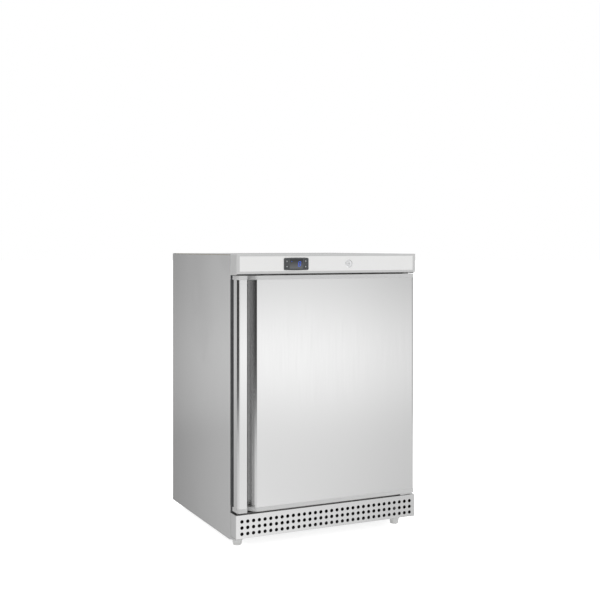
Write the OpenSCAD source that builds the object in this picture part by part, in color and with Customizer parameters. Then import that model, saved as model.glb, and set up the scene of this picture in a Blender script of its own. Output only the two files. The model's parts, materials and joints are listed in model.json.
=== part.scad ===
// Undercounter refrigerator with one solid door, hinged on the right.
// Millimetres. +Z up, the front faces -Y, the origin is on the floor under the middle of the box.
// Depths called t are measured back from the front plane of the control frame.

/* [Cabinet] */
// Width over the side panels
cabinet_w = 600; // [590:1:620]
// Depth from the key tops to the rear spacers
cabinet_d = 585; // [580:1:605]
// Height from the floor to the top panel
cabinet_h = 855; // [850:1:870]
// Height of the side panels' lower edge
side_bottom = 24; // [22:0.5:26]
// Depth of the control frame and of the grille's side returns
front_depth = 48; // [48:0.5:50]
// Thickness of the steel sheet
sheet = 1; // [0.8:0.1:1.2]
// Thickness of the foam in the walls
foam_wall = 45; // [42:1:48]

/* [Front] */
// Height of the control frame
frame_h = 57; // [54:1:60]
// Gap between the control frame and the door
top_gap = 5; // [4.5:0.5:6]
// Height of the grille's lower edge
grille_z = 36; // [35:0.5:38]
// Height of the grille
grille_h = 68; // [66:1:70]
// Gap between the door and the grille
bottom_gap = 6; // [6:0.5:7]
// Holes in one row of the grille
grille_columns = 32; // [20:1:32]
// Distance between hole columns
hole_pitch_x = 18.16; // [16:0.01:18.2]
// Distance between hole rows
hole_pitch_z = 17.75; // [16:0.05:18]
// Radius of a grille hole
hole_r = 5.2; // [3:0.1:5.5]
// How far the grille stands behind the door's face
grille_in = 4.5; // [0:0.5:6]

/* [Door] */
// Gap from the cabinet's side to the door's side
door_side_gap = 4; // [3.5:0.5:5]
// Depth t of the steel skin's rear edge
skin_rear = 33; // [31:0.5:34]
// Depth t of the door's rear face
door_rear = 41; // [40:0.5:42]
// Height of an end cap
cap_h = 12; // [11:0.5:14]
// How far an end cap stands proud of the skin
cap_proud = 0.9; // [0.5:0.1:1]
// Radius of the door's front corners
corner_r = 9; // [6:0.5:10]
// Distance of the grip strip's free edge from the cabinet's side
grip_edge = 32.5; // [30:0.5:34]
// Thickness of the grip strip
grip_t = 9; // [8:0.5:10]
// Depth t of the finger pocket's floor
pocket_t = 26; // [24:0.5:27]
// Distance of the hinge axis from the cabinet's right side
hinge_in = 27; // [27:0.5:28]
// Depth t of the hinge axis
hinge_t = 20; // [20:0.5:20.5]

/* [Inside] */
// Width of the cold space
cavity_w = 500; // [490:1:500]
// Height of the cold space's floor
cavity_floor = 142; // [142:1:146]
// Height of the cold space's ceiling
cavity_top = 762; // [756:1:762]
// Height of the lowest shelf
shelf_z = 290; // [285:1:300]
// Distance between the shelves
shelf_pitch = 150; // [140:1:155]
// Height of the machine bay's ceiling
bay_top = 216; // [214:1:222]
// Depth of the machine bay
bay_depth = 190; // [188:1:195]

/* [Controls] */
// Distance of the controller's middle from the cabinet's left side
controller_in = 189; // [150:1:220]
// Width of the controller's bezel
controller_w = 80; // [76:1:82]
// Height of the controller's bezel
controller_h = 37; // [35:1:38]
// Distance of the lock from the cabinet's left side
lock_in = 365; // [340:1:400]
// Height of the controls below the top
controls_down = 29; // [28:0.5:30]

/* [Hidden] */
$fn = 48;

// Box and front
bezel_proud = 1.5;
spacer_proud = 9.5;
half_w = cabinet_w / 2;
front_y = -cabinet_d / 2 + bezel_proud;
rear_y = cabinet_d / 2 - spacer_proud;
face_y = front_y + front_depth;
back_y = rear_y - 29;
frame_z = cabinet_h - frame_h;
door_top = frame_z - top_gap;
door_bottom = grille_z + grille_h + bottom_gap;
skin_bottom = door_bottom + cap_h;
skin_top = door_top - cap_h;
top_sheet = 1.2;
shadow_gap = 1;
side_top = cabinet_h - top_sheet - shadow_gap;
flange_w = 20;
top_lip = 14;
flange_x = half_w - flange_w - 0.4;
plastic = 2.5;
overlap = 1;

// Cold space
liner_t = 2;
cavity_x = cavity_w / 2;
cavity_rear = back_y - sheet - foam_wall - liner_t;
bay_front = rear_y - bay_depth;
step_y = bay_front - sheet - foam_wall - liner_t;
step_z = bay_top + sheet + foam_wall + liner_t;
floor_z = cavity_floor - liner_t - foam_wall;
rib_in = 14;
rib_h = 8;
rib_pitch = shelf_pitch / 2;
rib_levels = [-1 : 5];
play = 0.3;

// Wire shelves
rod_r = 3;
wire_r = 1.6;
shelf_x = cavity_x - 7;
shelf_front = face_y + 40;
shelf_rear = cavity_rear - 46;
wire_count = 19;

// Door, in the plan of the cabinet: x from its left side, t from its front
door_x0 = door_side_gap + 0.4;
door_x1 = cabinet_w - door_side_gap + 0.6;
door_front = 1;
hinge_x = half_w - hinge_in;
hinge_y = front_y + hinge_t;
swing_r = front_depth - hinge_t - 0.8;
pocket_left = 16;
pocket_bend_r = 6;
pocket_toe = 43;
pocket_lip = 64;
lip_r = 12;
toe_r = 8;
slope_angle = atan2(pocket_t - door_front, pocket_lip - pocket_toe);
slope_normal = 90 - slope_angle;
lip_x = pocket_lip + lip_r * (1 - sin(slope_normal)) / cos(slope_normal);
toe_x = pocket_lip - (toe_r + (pocket_t - toe_r - door_front) * sin(slope_normal)) / cos(slope_normal);
gasket_w = 18;
gasket_x = hinge_x;
bulge_x = cavity_x - 10;
bulge_t = 56;
bulge_z0 = cavity_floor + 10;
bulge_z1 = cavity_top - 10;

// Hinges
pin_r = 4;
pin_fit = 0.05;
bracket_t = 3;
bush_r = 7;
bush_flange_r = 11;

// Controls
controls_z = cabinet_h - controls_down;
controller_x = controller_in - half_w;
lock_x = lock_in - half_w;
label_h = 44;
label_in = 9.6;
label_t = 0.5;
label_face = 0.1;
bezel_t = 1.3;
window_w = 42;
window_h = 28;
key_w = 8.4;
key_h = 11;
key_x = 30.5;
key_z = 8;
key_travel = 0.8;
lock_r = 12;
plug_r = 7;
cam_l = 42;
cam_w = 14;
cam_t0 = 24;
cam_t1 = 26.5;
cam_room = 2.5;

// Machine bay
base_z = 36.5;
base_t = 1.5;
base_top = base_z + base_t;
compressor_x = 110;
compressor_y = bay_front + 95;
compressor_r = 78;
compressor_z = base_top + 14;
compressor_h = 138;
foot_spacing_x = 80;
foot_spacing_y = 60;
condenser_y = back_y + 15;
tube_r = 2.5;
run_pitch = 48;
run_count = 11;
run_x = 240;
run_z = 258;
condenser_wire_r = 0.9;
wire_y = condenser_y - tube_r - condenser_wire_r - 0.05;
wire_uprights = 12;

// Fan
fan_z = 696;
fan_r = 54;
duct_y = cavity_rear - 36;
fan_y0 = duct_y + 6;
fan_t = 22;
hub_r = 18;

// Feet and rollers
foot_x = half_w - 32;
foot_y = front_y + 74;
knob_r = 16;
knob_foot_r = 11.5;
stud_r = 5;
roller_r = 15;
roller_w = 18;
roller_x = half_w - 40;
roller_y = rear_y - 28;
axle_r = 3;

steel_colour = "silver";
plastic_colour = "gainsboro";
white_colour = "whitesmoke";
dark_colour = "dimgray";

// ---- Helpers ----

// A box between two corners
module block(a, b) {
    translate(a) cube(b - a);
}

// A round rod between two points
module rod(a, b, r) {
    d = b - a;
    translate(a)
        rotate([0, acos(d[2] / norm(d)), atan2(d[1], d[0])])
            cylinder(h = norm(d), r = r);
}

function unit(v) = v / norm(v);

// A path with each inner corner turned into a smooth bend that starts at a distance from it
function bent(points, bend, n = 4) = concat(
    [points[0]],
    [for (i = [1 : len(points) - 2], k = [0 : n])
        let(
            a = points[i] + bend * unit(points[i - 1] - points[i]),
            b = points[i] + bend * unit(points[i + 1] - points[i]),
            s = k / n
        )
        (1 - s) * (1 - s) * a + 2 * s * (1 - s) * points[i] + s * s * b],
    [points[len(points) - 1]]
);

// A ring of points round p, square to the direction t
function ring(p, t, r, sides) =
    let(u = unit(cross([1, 2, 3], t)), v = cross(t, u))
    [for (k = [0 : sides - 1]) p + r * (u * cos(k * 360 / sides) + v * sin(k * 360 / sides))];

// A round tube, closed at both ends, swept along a path
module swept_tube(path, r, sides = 8) {
    last = len(path) - 1;
    points = [for (i = [0 : last])
        each ring(path[i], unit(path[min(i + 1, last)] - path[max(i - 1, 0)]), r, sides)];
    walls = [for (i = [0 : last - 1], k = [0 : sides - 1])
        let(j = (k + 1) % sides)
        [(i + 1) * sides + k, (i + 1) * sides + j, i * sides + j, i * sides + k]];
    start = [for (k = [0 : sides - 1]) k];
    end = [for (k = [sides - 1 : -1 : 0]) last * sides + k];
    polyhedron(points, concat(walls, [start, end]));
}

// The corners of a serpentine in the plane y: runs from -x to x, rising from z by pitch
function serpentine(x, y, z, pitch, runs) =
    [for (i = [0 : runs - 1], k = [0 : 1]) [(i + k) % 2 == 0 ? -x : x, y, z + i * pitch]];

// A cylinder along +Y from depth t0 to depth t1
module along_y(x, z, t0, t1, r) {
    translate([x, front_y + t0, z])
        rotate([-90, 0, 0]) cylinder(h = t1 - t0, r = r);
}

// A pan-head screw at a point, its head towards -Y, or +Y when back is true
module screw(p, back = false, length = 8, head_r = 4) {
    translate(p) rotate([back ? -90 : 90, 0, 0]) {
        cylinder(h = 2, r1 = head_r, r2 = head_r * 0.7);
        translate([0, 0, -length]) cylinder(h = length + 0.5, r = 1.7);
    }
}

// Points of an arc about a centre
function arc(cx, cy, r, a0, a1, n = 8) =
    [for (i = [0 : n]) [cx + r * cos(a0 + (a1 - a0) * i / n), cy + r * sin(a0 + (a1 - a0) * i / n)]];

// The door's plan from its left rear corner round the front, drawn in by inset
function door_front_line(inset, rear) = concat(
    [[door_x0 + inset, rear]],
    arc(door_x0 + corner_r, door_front + corner_r, corner_r - inset, 180, 270),
    [
        [grip_edge - inset, door_front + inset],
        [grip_edge - inset, grip_t - inset],
        [pocket_left - inset, grip_t - inset]
    ],
    arc(pocket_left + pocket_bend_r, pocket_t - pocket_bend_r, pocket_bend_r + inset, 180, 90),
    arc(toe_x, pocket_t - toe_r, toe_r + inset, 90, slope_normal),
    arc(lip_x, door_front + lip_r, lip_r - inset, 180 + slope_normal, 270),
    arc(door_x1 - corner_r, door_front + corner_r, corner_r - inset, 270, 360)
);

// The skin's plan: straight back on both sides
module door_plan(inset, rear) {
    translate([-half_w, front_y])
        polygon(concat(door_front_line(inset, rear), [[door_x1 - inset, rear]]));
}

// An end cap's plan: its hinge side follows the swing, so that it clears the cabinet
module cap_plan() {
    side = door_x1 + cap_proud - (cabinet_w - hinge_in);
    a0 = acos(side / swing_r);
    a1 = asin((door_rear - hinge_t) / swing_r);
    translate([-half_w, front_y])
        polygon(concat(
            door_front_line(-cap_proud, door_rear),
            arc(cabinet_w - hinge_in, hinge_t, swing_r, a0, a1, 6)
        ));
}

// ---- Cabinet ----

// side is -1 for the left panel and 1 for the right one
module side_panel(side) {
    color(steel_colour) {
        block([side * (half_w - sheet / 2) - sheet / 2, face_y, side_bottom],
              [side * (half_w - sheet / 2) + sheet / 2, rear_y, side_top]);
        // Toe below the grille's side return
        block([side * (half_w - sheet / 2) - sheet / 2, front_y + 6, side_bottom],
              [side * (half_w - sheet / 2) + sheet / 2, face_y + overlap, grille_z - 0.4]);
        // Front, rear and lower flanges
        block([side * (half_w - flange_w / 2) - flange_w / 2, face_y, grille_z + grille_h + 0.4],
              [side * (half_w - flange_w / 2) + flange_w / 2, face_y + sheet, side_top]);
        block([side * (half_w - flange_w / 2) - flange_w / 2, rear_y - sheet, base_top + 26],
              [side * (half_w - flange_w / 2) + flange_w / 2, rear_y, cabinet_h - top_lip - 0.4]);
        block([side * (half_w - 6) - 6, front_y + 6, side_bottom],
              [side * (half_w - 6) + 6, rear_y, side_bottom + sheet]);
    }
}

module left_side_panel() {
    side_panel(-1);
}

module right_side_panel() {
    side_panel(1);
}

module top_panel() {
    color(steel_colour) {
        block([-half_w, face_y + 0.3, cabinet_h - top_sheet], [half_w, rear_y, cabinet_h]);
        block([-half_w + 2, rear_y - top_sheet, cabinet_h - top_lip], [half_w - 2, rear_y, cabinet_h]);
    }
}

module back_panel() {
    color("lightgray")
        difference() {
            block([-half_w + sheet + 0.2, back_y - sheet, bay_top],
                  [half_w - sheet - 0.2, back_y, cabinet_h - top_sheet]);
            translate([190, back_y - 5, 400]) rotate([-90, 0, 0]) cylinder(h = 10, r = 6);
        }
}

// Stepped sheet under the foam: floor, bay bulkhead and bay ceiling
module floor_panel() {
    x = half_w - sheet - 0.2;
    color("lightgray")
        difference() {
            union() {
                block([-x, face_y + liner_t, floor_z], [x, bay_front, floor_z + sheet]);
                block([-x, bay_front - sheet, floor_z], [x, bay_front, bay_top + sheet]);
                block([-x, bay_front - sheet, bay_top], [x, back_y - sheet, bay_top + sheet]);
            }
            translate([compressor_x, cavity_rear - 14, bay_top - 5]) cylinder(h = 10, r = 9);
        }
}

module base_pan() {
    x = half_w - sheet - 0.4;
    color(dark_colour)
        difference() {
            union() {
                block([-x, face_y + 1, base_z], [x, rear_y - 2, base_top]);
                block([-x, rear_y - 2 - base_t, base_z], [x, rear_y - 2, base_top + 25]);
                // Front skirt, which hides the floor from view through the grille
                block([-x, face_y + 1, base_z - 6], [x, face_y + 1 + base_t, base_top + 8]);
                for (side = [-1, 1])
                    translate([side * foot_x, foot_y, base_z]) cylinder(h = 10, r = 9);
            }
            for (side = [-1, 1])
                translate([side * foot_x, foot_y, base_z - 5])
                    cylinder(h = 30, r = stud_r + pin_fit);
            // Cable outlet and bay vents
            along_y(-200, base_top + 13, 500, 600, 8);
            for (i = [0 : 9])
                block([-120 + i * 24, bay_front + 40, base_z - 5], [-112 + i * 24, bay_front + 150, base_top + 5]);
        }
}

module top_rail() {
    color("lightgray")
        block([-flange_x, face_y, frame_z - 0.6], [flange_x, face_y + liner_t, cabinet_h - top_sheet]);
}

module bottom_rail() {
    color(dark_colour)
        block([-flange_x, face_y, 80], [flange_x, face_y + liner_t, grille_z + grille_h]);
}

// The cold space, grown by g on every side but the front, which starts at y
module cavity(g, y) {
    block([-cavity_x - g, y, cavity_floor - g], [cavity_x + g, step_y + g, cavity_top + g]);
    block([-cavity_x - g, y, step_z - g], [cavity_x + g, cavity_rear + g, cavity_top + g]);
}

module cabinet_insulation() {
    color("khaki")
        difference() {
            block([-half_w + sheet, face_y + liner_t, floor_z + sheet],
                  [half_w - sheet, back_y - sheet, cabinet_h - top_sheet]);
            cavity(liner_t, face_y);
            block([-half_w, bay_front - sheet, 0], [half_w, rear_y, bay_top + sheet]);
            // Room for the evaporator, the drain and the suction pipe
            block([-206, cavity_rear, 296], [206, cavity_rear + liner_t + 7.6, 752]);
            translate([compressor_x, cavity_rear - 14, bay_top]) cylinder(h = 50, r = 8.2);
            translate([190, cavity_rear + liner_t, 400]) rotate([-90, 0, 0]) cylinder(h = 50, r = 5);
        }
}

module inner_liner() {
    color(white_colour) {
        difference() {
            union() {
                cavity(liner_t, face_y);
                block([-flange_x, face_y, grille_z + grille_h + 0.4],
                      [flange_x, face_y + liner_t, frame_z - 1]);
            }
            cavity(0, face_y - overlap);
            translate([compressor_x, cavity_rear - 14, step_z - 10]) cylinder(h = 20, r = 6);
        }
        // Shelf runners
        for (side = [-1, 1], level = rib_levels)
            block([side * (cavity_x - (rib_in - overlap) / 2) - (rib_in + overlap) / 2,
                   face_y + 35, shelf_z + level * rib_pitch - play - rib_h],
                  [side * (cavity_x - (rib_in - overlap) / 2) + (rib_in + overlap) / 2,
                   level < 0 ? step_y - 10 : shelf_rear + 8, shelf_z + level * rib_pitch - play]);
    }
}

// Plate and serpentine tube, foamed in behind the cold space's rear wall
module evaporator_plate() {
    y = cavity_rear + liner_t;
    color("lightsteelblue") {
        block([-200, y, 300], [200, y + 1, 748]);
        swept_tube(bent(serpentine(190, y + 4.2, 325, 56, 8), 27), 3);
    }
}

// ---- Control frame ----

module control_frame() {
    color(plastic_colour)
        difference() {
            union() {
                block([-half_w, front_y, frame_z], [half_w, face_y, cabinet_h]);
                // Side returns reach a little lower
                for (side = [-1, 1])
                    block([side * (half_w - plastic / 2) - plastic / 2, front_y + 8, frame_z - 3.5],
                          [side * (half_w - plastic / 2) + plastic / 2, face_y, frame_z + overlap]);
            }
            block([-half_w + plastic, front_y + plastic, frame_z + plastic],
                  [half_w - plastic, face_y + overlap, cabinet_h - plastic]);
            // Label recess
            block([-half_w + label_in, front_y - overlap, controls_z + 1 - label_h / 2 - 0.1],
                  [half_w - label_in + 0.6, front_y + label_face + label_t, controls_z + 1 + label_h / 2 + 0.1]);
            controller_hole(0.3);
            along_y(lock_x, controls_z, -1, 5, 9.6);
            // Slots for the hinge pin and the lock's cam
            translate([hinge_x, hinge_y, frame_z - 5]) cylinder(h = 10, r = pin_r + 1);
            block([lock_x - cam_w / 2 - 2, front_y + cam_t0 - cam_room, frame_z - 5],
                  [lock_x + 42, front_y + cam_t1 + cam_room, frame_z + 5]);
        }
}

// The square hole that the controller's body goes through
module controller_hole(gap) {
    block([controller_x - 35.5 - gap, front_y - overlap, controls_z - 14.5 - gap],
          [controller_x + 35.5 + gap, front_y + 10, controls_z + 14.5 + gap]);
}

module fascia_label() {
    color("white")
        difference() {
            block([-half_w + label_in + 0.1, front_y + label_face, controls_z + 1 - label_h / 2],
                  [half_w - label_in + 0.5, front_y + label_face + label_t, controls_z + 1 + label_h / 2]);
            controller_hole(0.2);
            along_y(lock_x, controls_z, -1, 5, 9.6);
        }
}

module controller_housing() {
    color(dark_colour)
        difference() {
            union() {
                block([controller_x - controller_w / 2, front_y + label_face - bezel_t, controls_z - controller_h / 2],
                      [controller_x + controller_w / 2, front_y + label_face, controls_z + controller_h / 2]);
                block([controller_x - 35.5, front_y, controls_z - 14.5],
                      [controller_x + 35.5, front_y + 41, controls_z + 14.5]);
            }
            block([controller_x - window_w / 2, front_y - 3, controls_z - window_h / 2],
                  [controller_x + window_w / 2, front_y - 0.3, controls_z + window_h / 2]);
            for (sx = [-1, 1], sz = [-1, 1])
                translate([controller_x + sx * key_x, front_y, controls_z + sz * key_z])
                    block([-key_w / 2 - play, -3, -key_h / 2 - play], [key_w / 2 + play, 4.4, key_h / 2 + play]);
        }
}

module display_window() {
    color("darkslategray")
        block([controller_x - window_w / 2, front_y - 1, controls_z - window_h / 2],
              [controller_x + window_w / 2, front_y - 0.3, controls_z + window_h / 2]);
}

module controller_key(sx, sz) {
    color("gray")
        translate([controller_x + sx * key_x, front_y, controls_z + sz * key_z])
            block([-key_w / 2, -bezel_proud, -key_h / 2], [key_w / 2, 4.4 - play - key_travel, key_h / 2]);
}

module key_upper_left() {
    controller_key(-1, 1);
}

module key_lower_left() {
    controller_key(-1, -1);
}

module key_upper_right() {
    controller_key(1, 1);
}

module key_lower_right() {
    controller_key(1, -1);
}

module lock_housing() {
    color(steel_colour)
        difference() {
            union() {
                along_y(lock_x, controls_z, label_face - bezel_t, label_face, lock_r);
                along_y(lock_x, controls_z, label_face - 0.2, 22, 9.4);
                // Fixing nut behind the frame
                translate([lock_x, front_y + plastic, controls_z])
                    rotate([-90, 0, 0]) cylinder(h = 4, r = 13, $fn = 6);
            }
            along_y(lock_x, controls_z, -5, 40, plug_r + pin_fit);
        }
}

module lock_barrel() {
    color("gainsboro")
        difference() {
            along_y(lock_x, controls_z, label_face - bezel_t - 0.1, cam_t1 + 3, plug_r);
            // Keyway, and the flats that carry the cam
            block([lock_x - 0.8, front_y - 3, controls_z - 3], [lock_x + 0.8, front_y + 14, controls_z + 3]);
            for (side = [-1, 1])
                block([lock_x - 10, front_y + cam_t0, controls_z + side * 7.5 - 2.5],
                      [lock_x + 10, front_y + cam_t1 + 5, controls_z + side * 7.5 + 2.5]);
        }
}

module lock_cam() {
    color("lightgray")
        translate([lock_x, front_y, controls_z])
            difference() {
                union() {
                    translate([0, cam_t0, 0]) rotate([-90, 0, 0])
                        cylinder(h = cam_t1 - cam_t0, r = 10);
                    block([0, cam_t0, -cam_w / 2], [cam_l, cam_t1, cam_w / 2]);
                }
                intersection() {
                    translate([0, cam_t0 - 1, 0]) rotate([-90, 0, 0]) cylinder(h = 6, r = plug_r);
                    block([-10, cam_t0 - 1, -5], [10, cam_t1 + 1, 5]);
                }
            }
}

// ---- Hinges ----

module top_hinge() {
    color(steel_colour) {
        block([hinge_x - 22, front_y + 10, frame_z + plastic + 0.4],
              [hinge_x + 16, face_y - 0.1, frame_z + plastic + 0.4 + bracket_t]);
        block([hinge_x - 22, face_y - 0.1 - bracket_t, frame_z + plastic + 0.4],
              [hinge_x + 3, face_y - 0.1, frame_z + 42]);
        translate([hinge_x, hinge_y, door_top - 9])
            cylinder(h = top_gap + plastic + 11, r = pin_r);
    }
}

module bottom_hinge() {
    z = grille_z + grille_h + 0.6;
    color(steel_colour) {
        block([hinge_x - 22, front_y + 8, z], [hinge_x + 16, face_y - 0.1, z + bracket_t]);
        block([hinge_x - 22, face_y - 0.1 - bracket_t, z - 22], [hinge_x + 3, face_y - 0.1, z + bracket_t]);
        translate([hinge_x, hinge_y, z + 1]) cylinder(h = door_bottom - z + 8, r = pin_r);
        translate([hinge_x, hinge_y, z + 1]) cylinder(h = door_bottom - z - 1.3, r = 8);
    }
}

module hinge_screws() {
    y = face_y - 0.1 - bracket_t;
    color(steel_colour) {
        for (z = [frame_z + 16, frame_z + 32])
            screw([hinge_x - 10, y, z]);
        for (x = [-16, -4])
            screw([hinge_x + x, y, grille_z + grille_h - 15]);
    }
}

module hinge_bushes() {
    color(white_colour) {
        difference() {
            union() {
                translate([hinge_x, hinge_y, door_top - cap_h + 0.4]) cylinder(h = cap_h, r = bush_r);
                translate([hinge_x, hinge_y, door_top]) cylinder(h = 3.2, r = bush_flange_r);
            }
            translate([hinge_x, hinge_y, door_top - cap_h + 2]) cylinder(h = 20, r = pin_r + pin_fit);
        }
        difference() {
            translate([hinge_x, hinge_y, door_bottom]) cylinder(h = cap_h - 0.4, r = bush_r);
            translate([hinge_x, hinge_y, door_bottom - 5]) cylinder(h = cap_h + 3, r = pin_r + pin_fit);
        }
    }
}

// ---- Door ----

module door_skin() {
    color(steel_colour)
        translate([0, 0, skin_bottom])
            linear_extrude(height = skin_top - skin_bottom)
                difference() {
                    door_plan(0, skin_rear);
                    door_plan(sheet, skin_rear + overlap);
                }
}

module door_cap(z) {
    color(plastic_colour)
        difference() {
            translate([0, 0, z]) linear_extrude(height = cap_h) cap_plan();
            translate([hinge_x, hinge_y, z - 5]) cylinder(h = cap_h + 10, r = bush_r);
            if (z > cabinet_h / 2)
                block([lock_x - cam_w / 2 - 2, front_y + cam_t0 - cam_room, z + 1],
                      [lock_x + 36, front_y + cam_t1 + cam_room, z + cap_h + 5]);
        }
}

module door_top_cap() {
    door_cap(skin_top);
}

module door_bottom_cap() {
    door_cap(door_bottom);
}

module door_insulation() {
    color("khaki") {
        translate([0, 0, skin_bottom])
            linear_extrude(height = skin_top - skin_bottom) door_plan(sheet, skin_rear);
        block([-half_w + 12, front_y + skin_rear - overlap, skin_bottom],
              [half_w - 12, front_y + 35, skin_top]);
        block([-bulge_x + 2, front_y + 30, bulge_z0 + 2], [bulge_x - 2, front_y + bulge_t - 2, bulge_z1 - 2]);
    }
}

module door_liner() {
    color(white_colour)
        difference() {
            union() {
                block([-half_w + 10, front_y + skin_rear, skin_bottom], [half_w - 10, front_y + 37, skin_top]);
                block([-bulge_x, front_y + 35, bulge_z0], [bulge_x, front_y + bulge_t, bulge_z1]);
            }
            block([-half_w + 12, front_y + 30, skin_bottom - 1], [half_w - 12, front_y + 35, skin_top + 1]);
            block([-bulge_x + 2, front_y + 30, bulge_z0 + 2], [bulge_x - 2, front_y + bulge_t - 2, bulge_z1 - 2]);
        }
}

module door_gasket() {
    color(dark_colour)
        difference() {
            block([-gasket_x, front_y + 37, skin_bottom], [gasket_x, face_y - play, skin_top]);
            block([-gasket_x + gasket_w, front_y + 30, skin_bottom + gasket_w],
                  [gasket_x - gasket_w, face_y + 5, skin_top - gasket_w]);
        }
}

// ---- Grille ----

module plinth_grille() {
    steel_t = 1.2;
    y = front_y + grille_in;
    top = grille_z + grille_h;
    row_z = grille_z + 13.7;
    color(steel_colour)
        difference() {
            union() {
                block([-half_w, y, grille_z], [half_w, y + steel_t, top]);
                for (side = [-1, 1])
                    block([side * (half_w - steel_t / 2) - steel_t / 2, y, grille_z],
                          [side * (half_w - steel_t / 2) + steel_t / 2, face_y - 0.2, top]);
                block([-half_w, y, top - steel_t], [half_w, front_y + 30, top]);
                block([-half_w, y, grille_z], [half_w, front_y + 12, grille_z + steel_t]);
            }
            for (i = [0 : grille_columns - 1], row = [0 : 2])
                along_y((i - (grille_columns - 1) / 2) * hole_pitch_x, row_z + row * hole_pitch_z,
                        -grille_in, grille_in + 5, hole_r);
        }
}

// ---- Machine bay ----

module compressor() {
    color("#202224")
        translate([compressor_x, compressor_y, compressor_z]) {
            // Shell with domed ends and a welded seam
            rotate_extrude($fn = 64)
                polygon(concat(
                    [[0, 0]],
                    arc(compressor_r - 30, 30, 30, -90, 0),
                    [[compressor_r, 74], [compressor_r + 4, 74], [compressor_r + 4, 80], [compressor_r, 80]],
                    arc(compressor_r - 44, compressor_h - 44, 44, 0, 90),
                    [[0, compressor_h]]
                ));
            difference() {
                block([-foot_spacing_x - 14, -foot_spacing_y - 14, -3], [foot_spacing_x + 14, foot_spacing_y + 14, 1]);
                for (sx = [-1, 1], sy = [-1, 1])
                    translate([sx * foot_spacing_x, sy * foot_spacing_y, -10]) cylinder(h = 20, r = 6);
            }
        }
}

module compressor_grommets() {
    color("black")
        for (sx = [-1, 1], sy = [-1, 1])
            translate([compressor_x + sx * foot_spacing_x, compressor_y + sy * foot_spacing_y, base_top]) {
                cylinder(h = compressor_z - 3 - base_top, r = 11);
                cylinder(h = compressor_z + 6 - base_top, r = 5.9);
                translate([0, 0, compressor_z + 1 - base_top]) cylinder(h = 5, r = 9);
            }
}

module terminal_box() {
    x = compressor_x - compressor_r - 4;
    color("#303030") {
        block([x - 34, compressor_y - 28, compressor_z + 20], [x - 0.2, compressor_y + 28, compressor_z + 78]);
        rod([x - 20, compressor_y + 20, compressor_z + 50], [x - 20, compressor_y + 36, compressor_z + 50], 10);
    }
}

module evaporation_tray() {
    z = compressor_z + compressor_h + 1;
    color("#3a3d40")
        difference() {
            block([compressor_x - 70, compressor_y - 55, z], [compressor_x + 70, compressor_y + 55, z + 20]);
            block([compressor_x - 68, compressor_y - 53, z + 2], [compressor_x + 68, compressor_y + 53, z + 25]);
        }
}

module drain_tube() {
    color("gainsboro")
        difference() {
            translate([compressor_x, cavity_rear - 14, bay_top - 12])
                cylinder(h = step_z - liner_t - bay_top + 12, r = 8);
            translate([compressor_x, cavity_rear - 14, bay_top - 20]) cylinder(h = 80, r = 6);
        }
}

// Serpentine tube with upright wires
module condenser() {
    top = run_z + (run_count - 1) * run_pitch;
    color("#26282a") {
        swept_tube(bent(serpentine(run_x + 24, condenser_y, run_z, run_pitch, run_count), 23), tube_r);
        for (i = [0 : wire_uprights - 1])
            rod([(i - (wire_uprights - 1) / 2) * 36, wire_y, run_z - 15],
                [(i - (wire_uprights - 1) / 2) * 36, wire_y, top + 15], condenser_wire_r);
    }
}

module condenser_brackets() {
    color("#26282a")
        for (x = [-228, 228], z = [run_z + 1.5 * run_pitch, run_z + 8.5 * run_pitch])
            difference() {
                block([x - 10, back_y, z - 32], [x + 10, condenser_y + 4, z + 32]);
                block([x - 11, back_y + 2, z - 20], [x + 11, condenser_y + 5, z + 20]);
                for (s = [-1, 1])
                    rod([x - 20, condenser_y, z + s * run_pitch / 2], [x + 20, condenser_y, z + s * run_pitch / 2],
                        tube_r + 0.1);
            }
}

module filter_dryer() {
    color("peru")
        translate([-120, bay_front + 130, 80])
            rotate_extrude()
                polygon([[0, -14], [3, -14], [3, -8], [10, 0], [10, 90], [3, 98], [3, 104], [0, 104]]);
}

module refrigerant_pipes() {
    dryer_y = bay_front + 130;
    top_z = run_z + (run_count - 1) * run_pitch;
    color("peru") {
        // Discharge to the top of the condenser
        swept_tube(bent([[compressor_x + 50, compressor_y + 64, 90], [262, compressor_y + 64, 90],
                         [276, condenser_y, 130], [276, condenser_y, top_z], [run_x + 24.3, condenser_y, top_z]],
                        10), tube_r);
        // Condenser outlet to the dryer
        swept_tube(bent([[-run_x - 24.3, condenser_y, run_z], [-282, condenser_y, run_z],
                         [-282, condenser_y, 206], [-266, dryer_y + 20, 196], [-120, dryer_y, 196],
                         [-120, dryer_y, 184.2]], 8), tube_r);
        // Capillary from the dryer to the suction pipe
        swept_tube(bent([[-120, dryer_y, 65.8], [-120, dryer_y, 54], [-60, dryer_y + 26, 54],
                         [-20, back_y + 6, 150], [176, back_y + 4, 250], [176, back_y + 4, 392]], 8), 1.2);
        // Suction from the evaporator to the compressor
        swept_tube(bent([[190, cavity_rear + liner_t + 8, 400], [190, back_y + 7, 400],
                         [190, back_y + 7, 196], [215, compressor_y + 50, 170], [215, compressor_y, 110],
                         [compressor_x + compressor_r + 0.1, compressor_y, 110]], 6.5), 4);
    }
}

module cable_gland() {
    y = rear_y - 2 - base_t;
    color("black")
        difference() {
            union() {
                translate([-200, y - 8, base_top + 13]) rotate([-90, 0, 0]) cylinder(h = 18, r = 7.9);
                translate([-200, rear_y - 2, base_top + 13]) rotate([-90, 0, 0]) cylinder(h = 7, r = 11, $fn = 6);
                translate([-200, y - 5, base_top + 13]) rotate([-90, 0, 0]) cylinder(h = 5, r = 11, $fn = 6);
            }
            translate([-200, y - 20, base_top + 13]) rotate([-90, 0, 0]) cylinder(h = 50, r = 4.1);
        }
}

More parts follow.
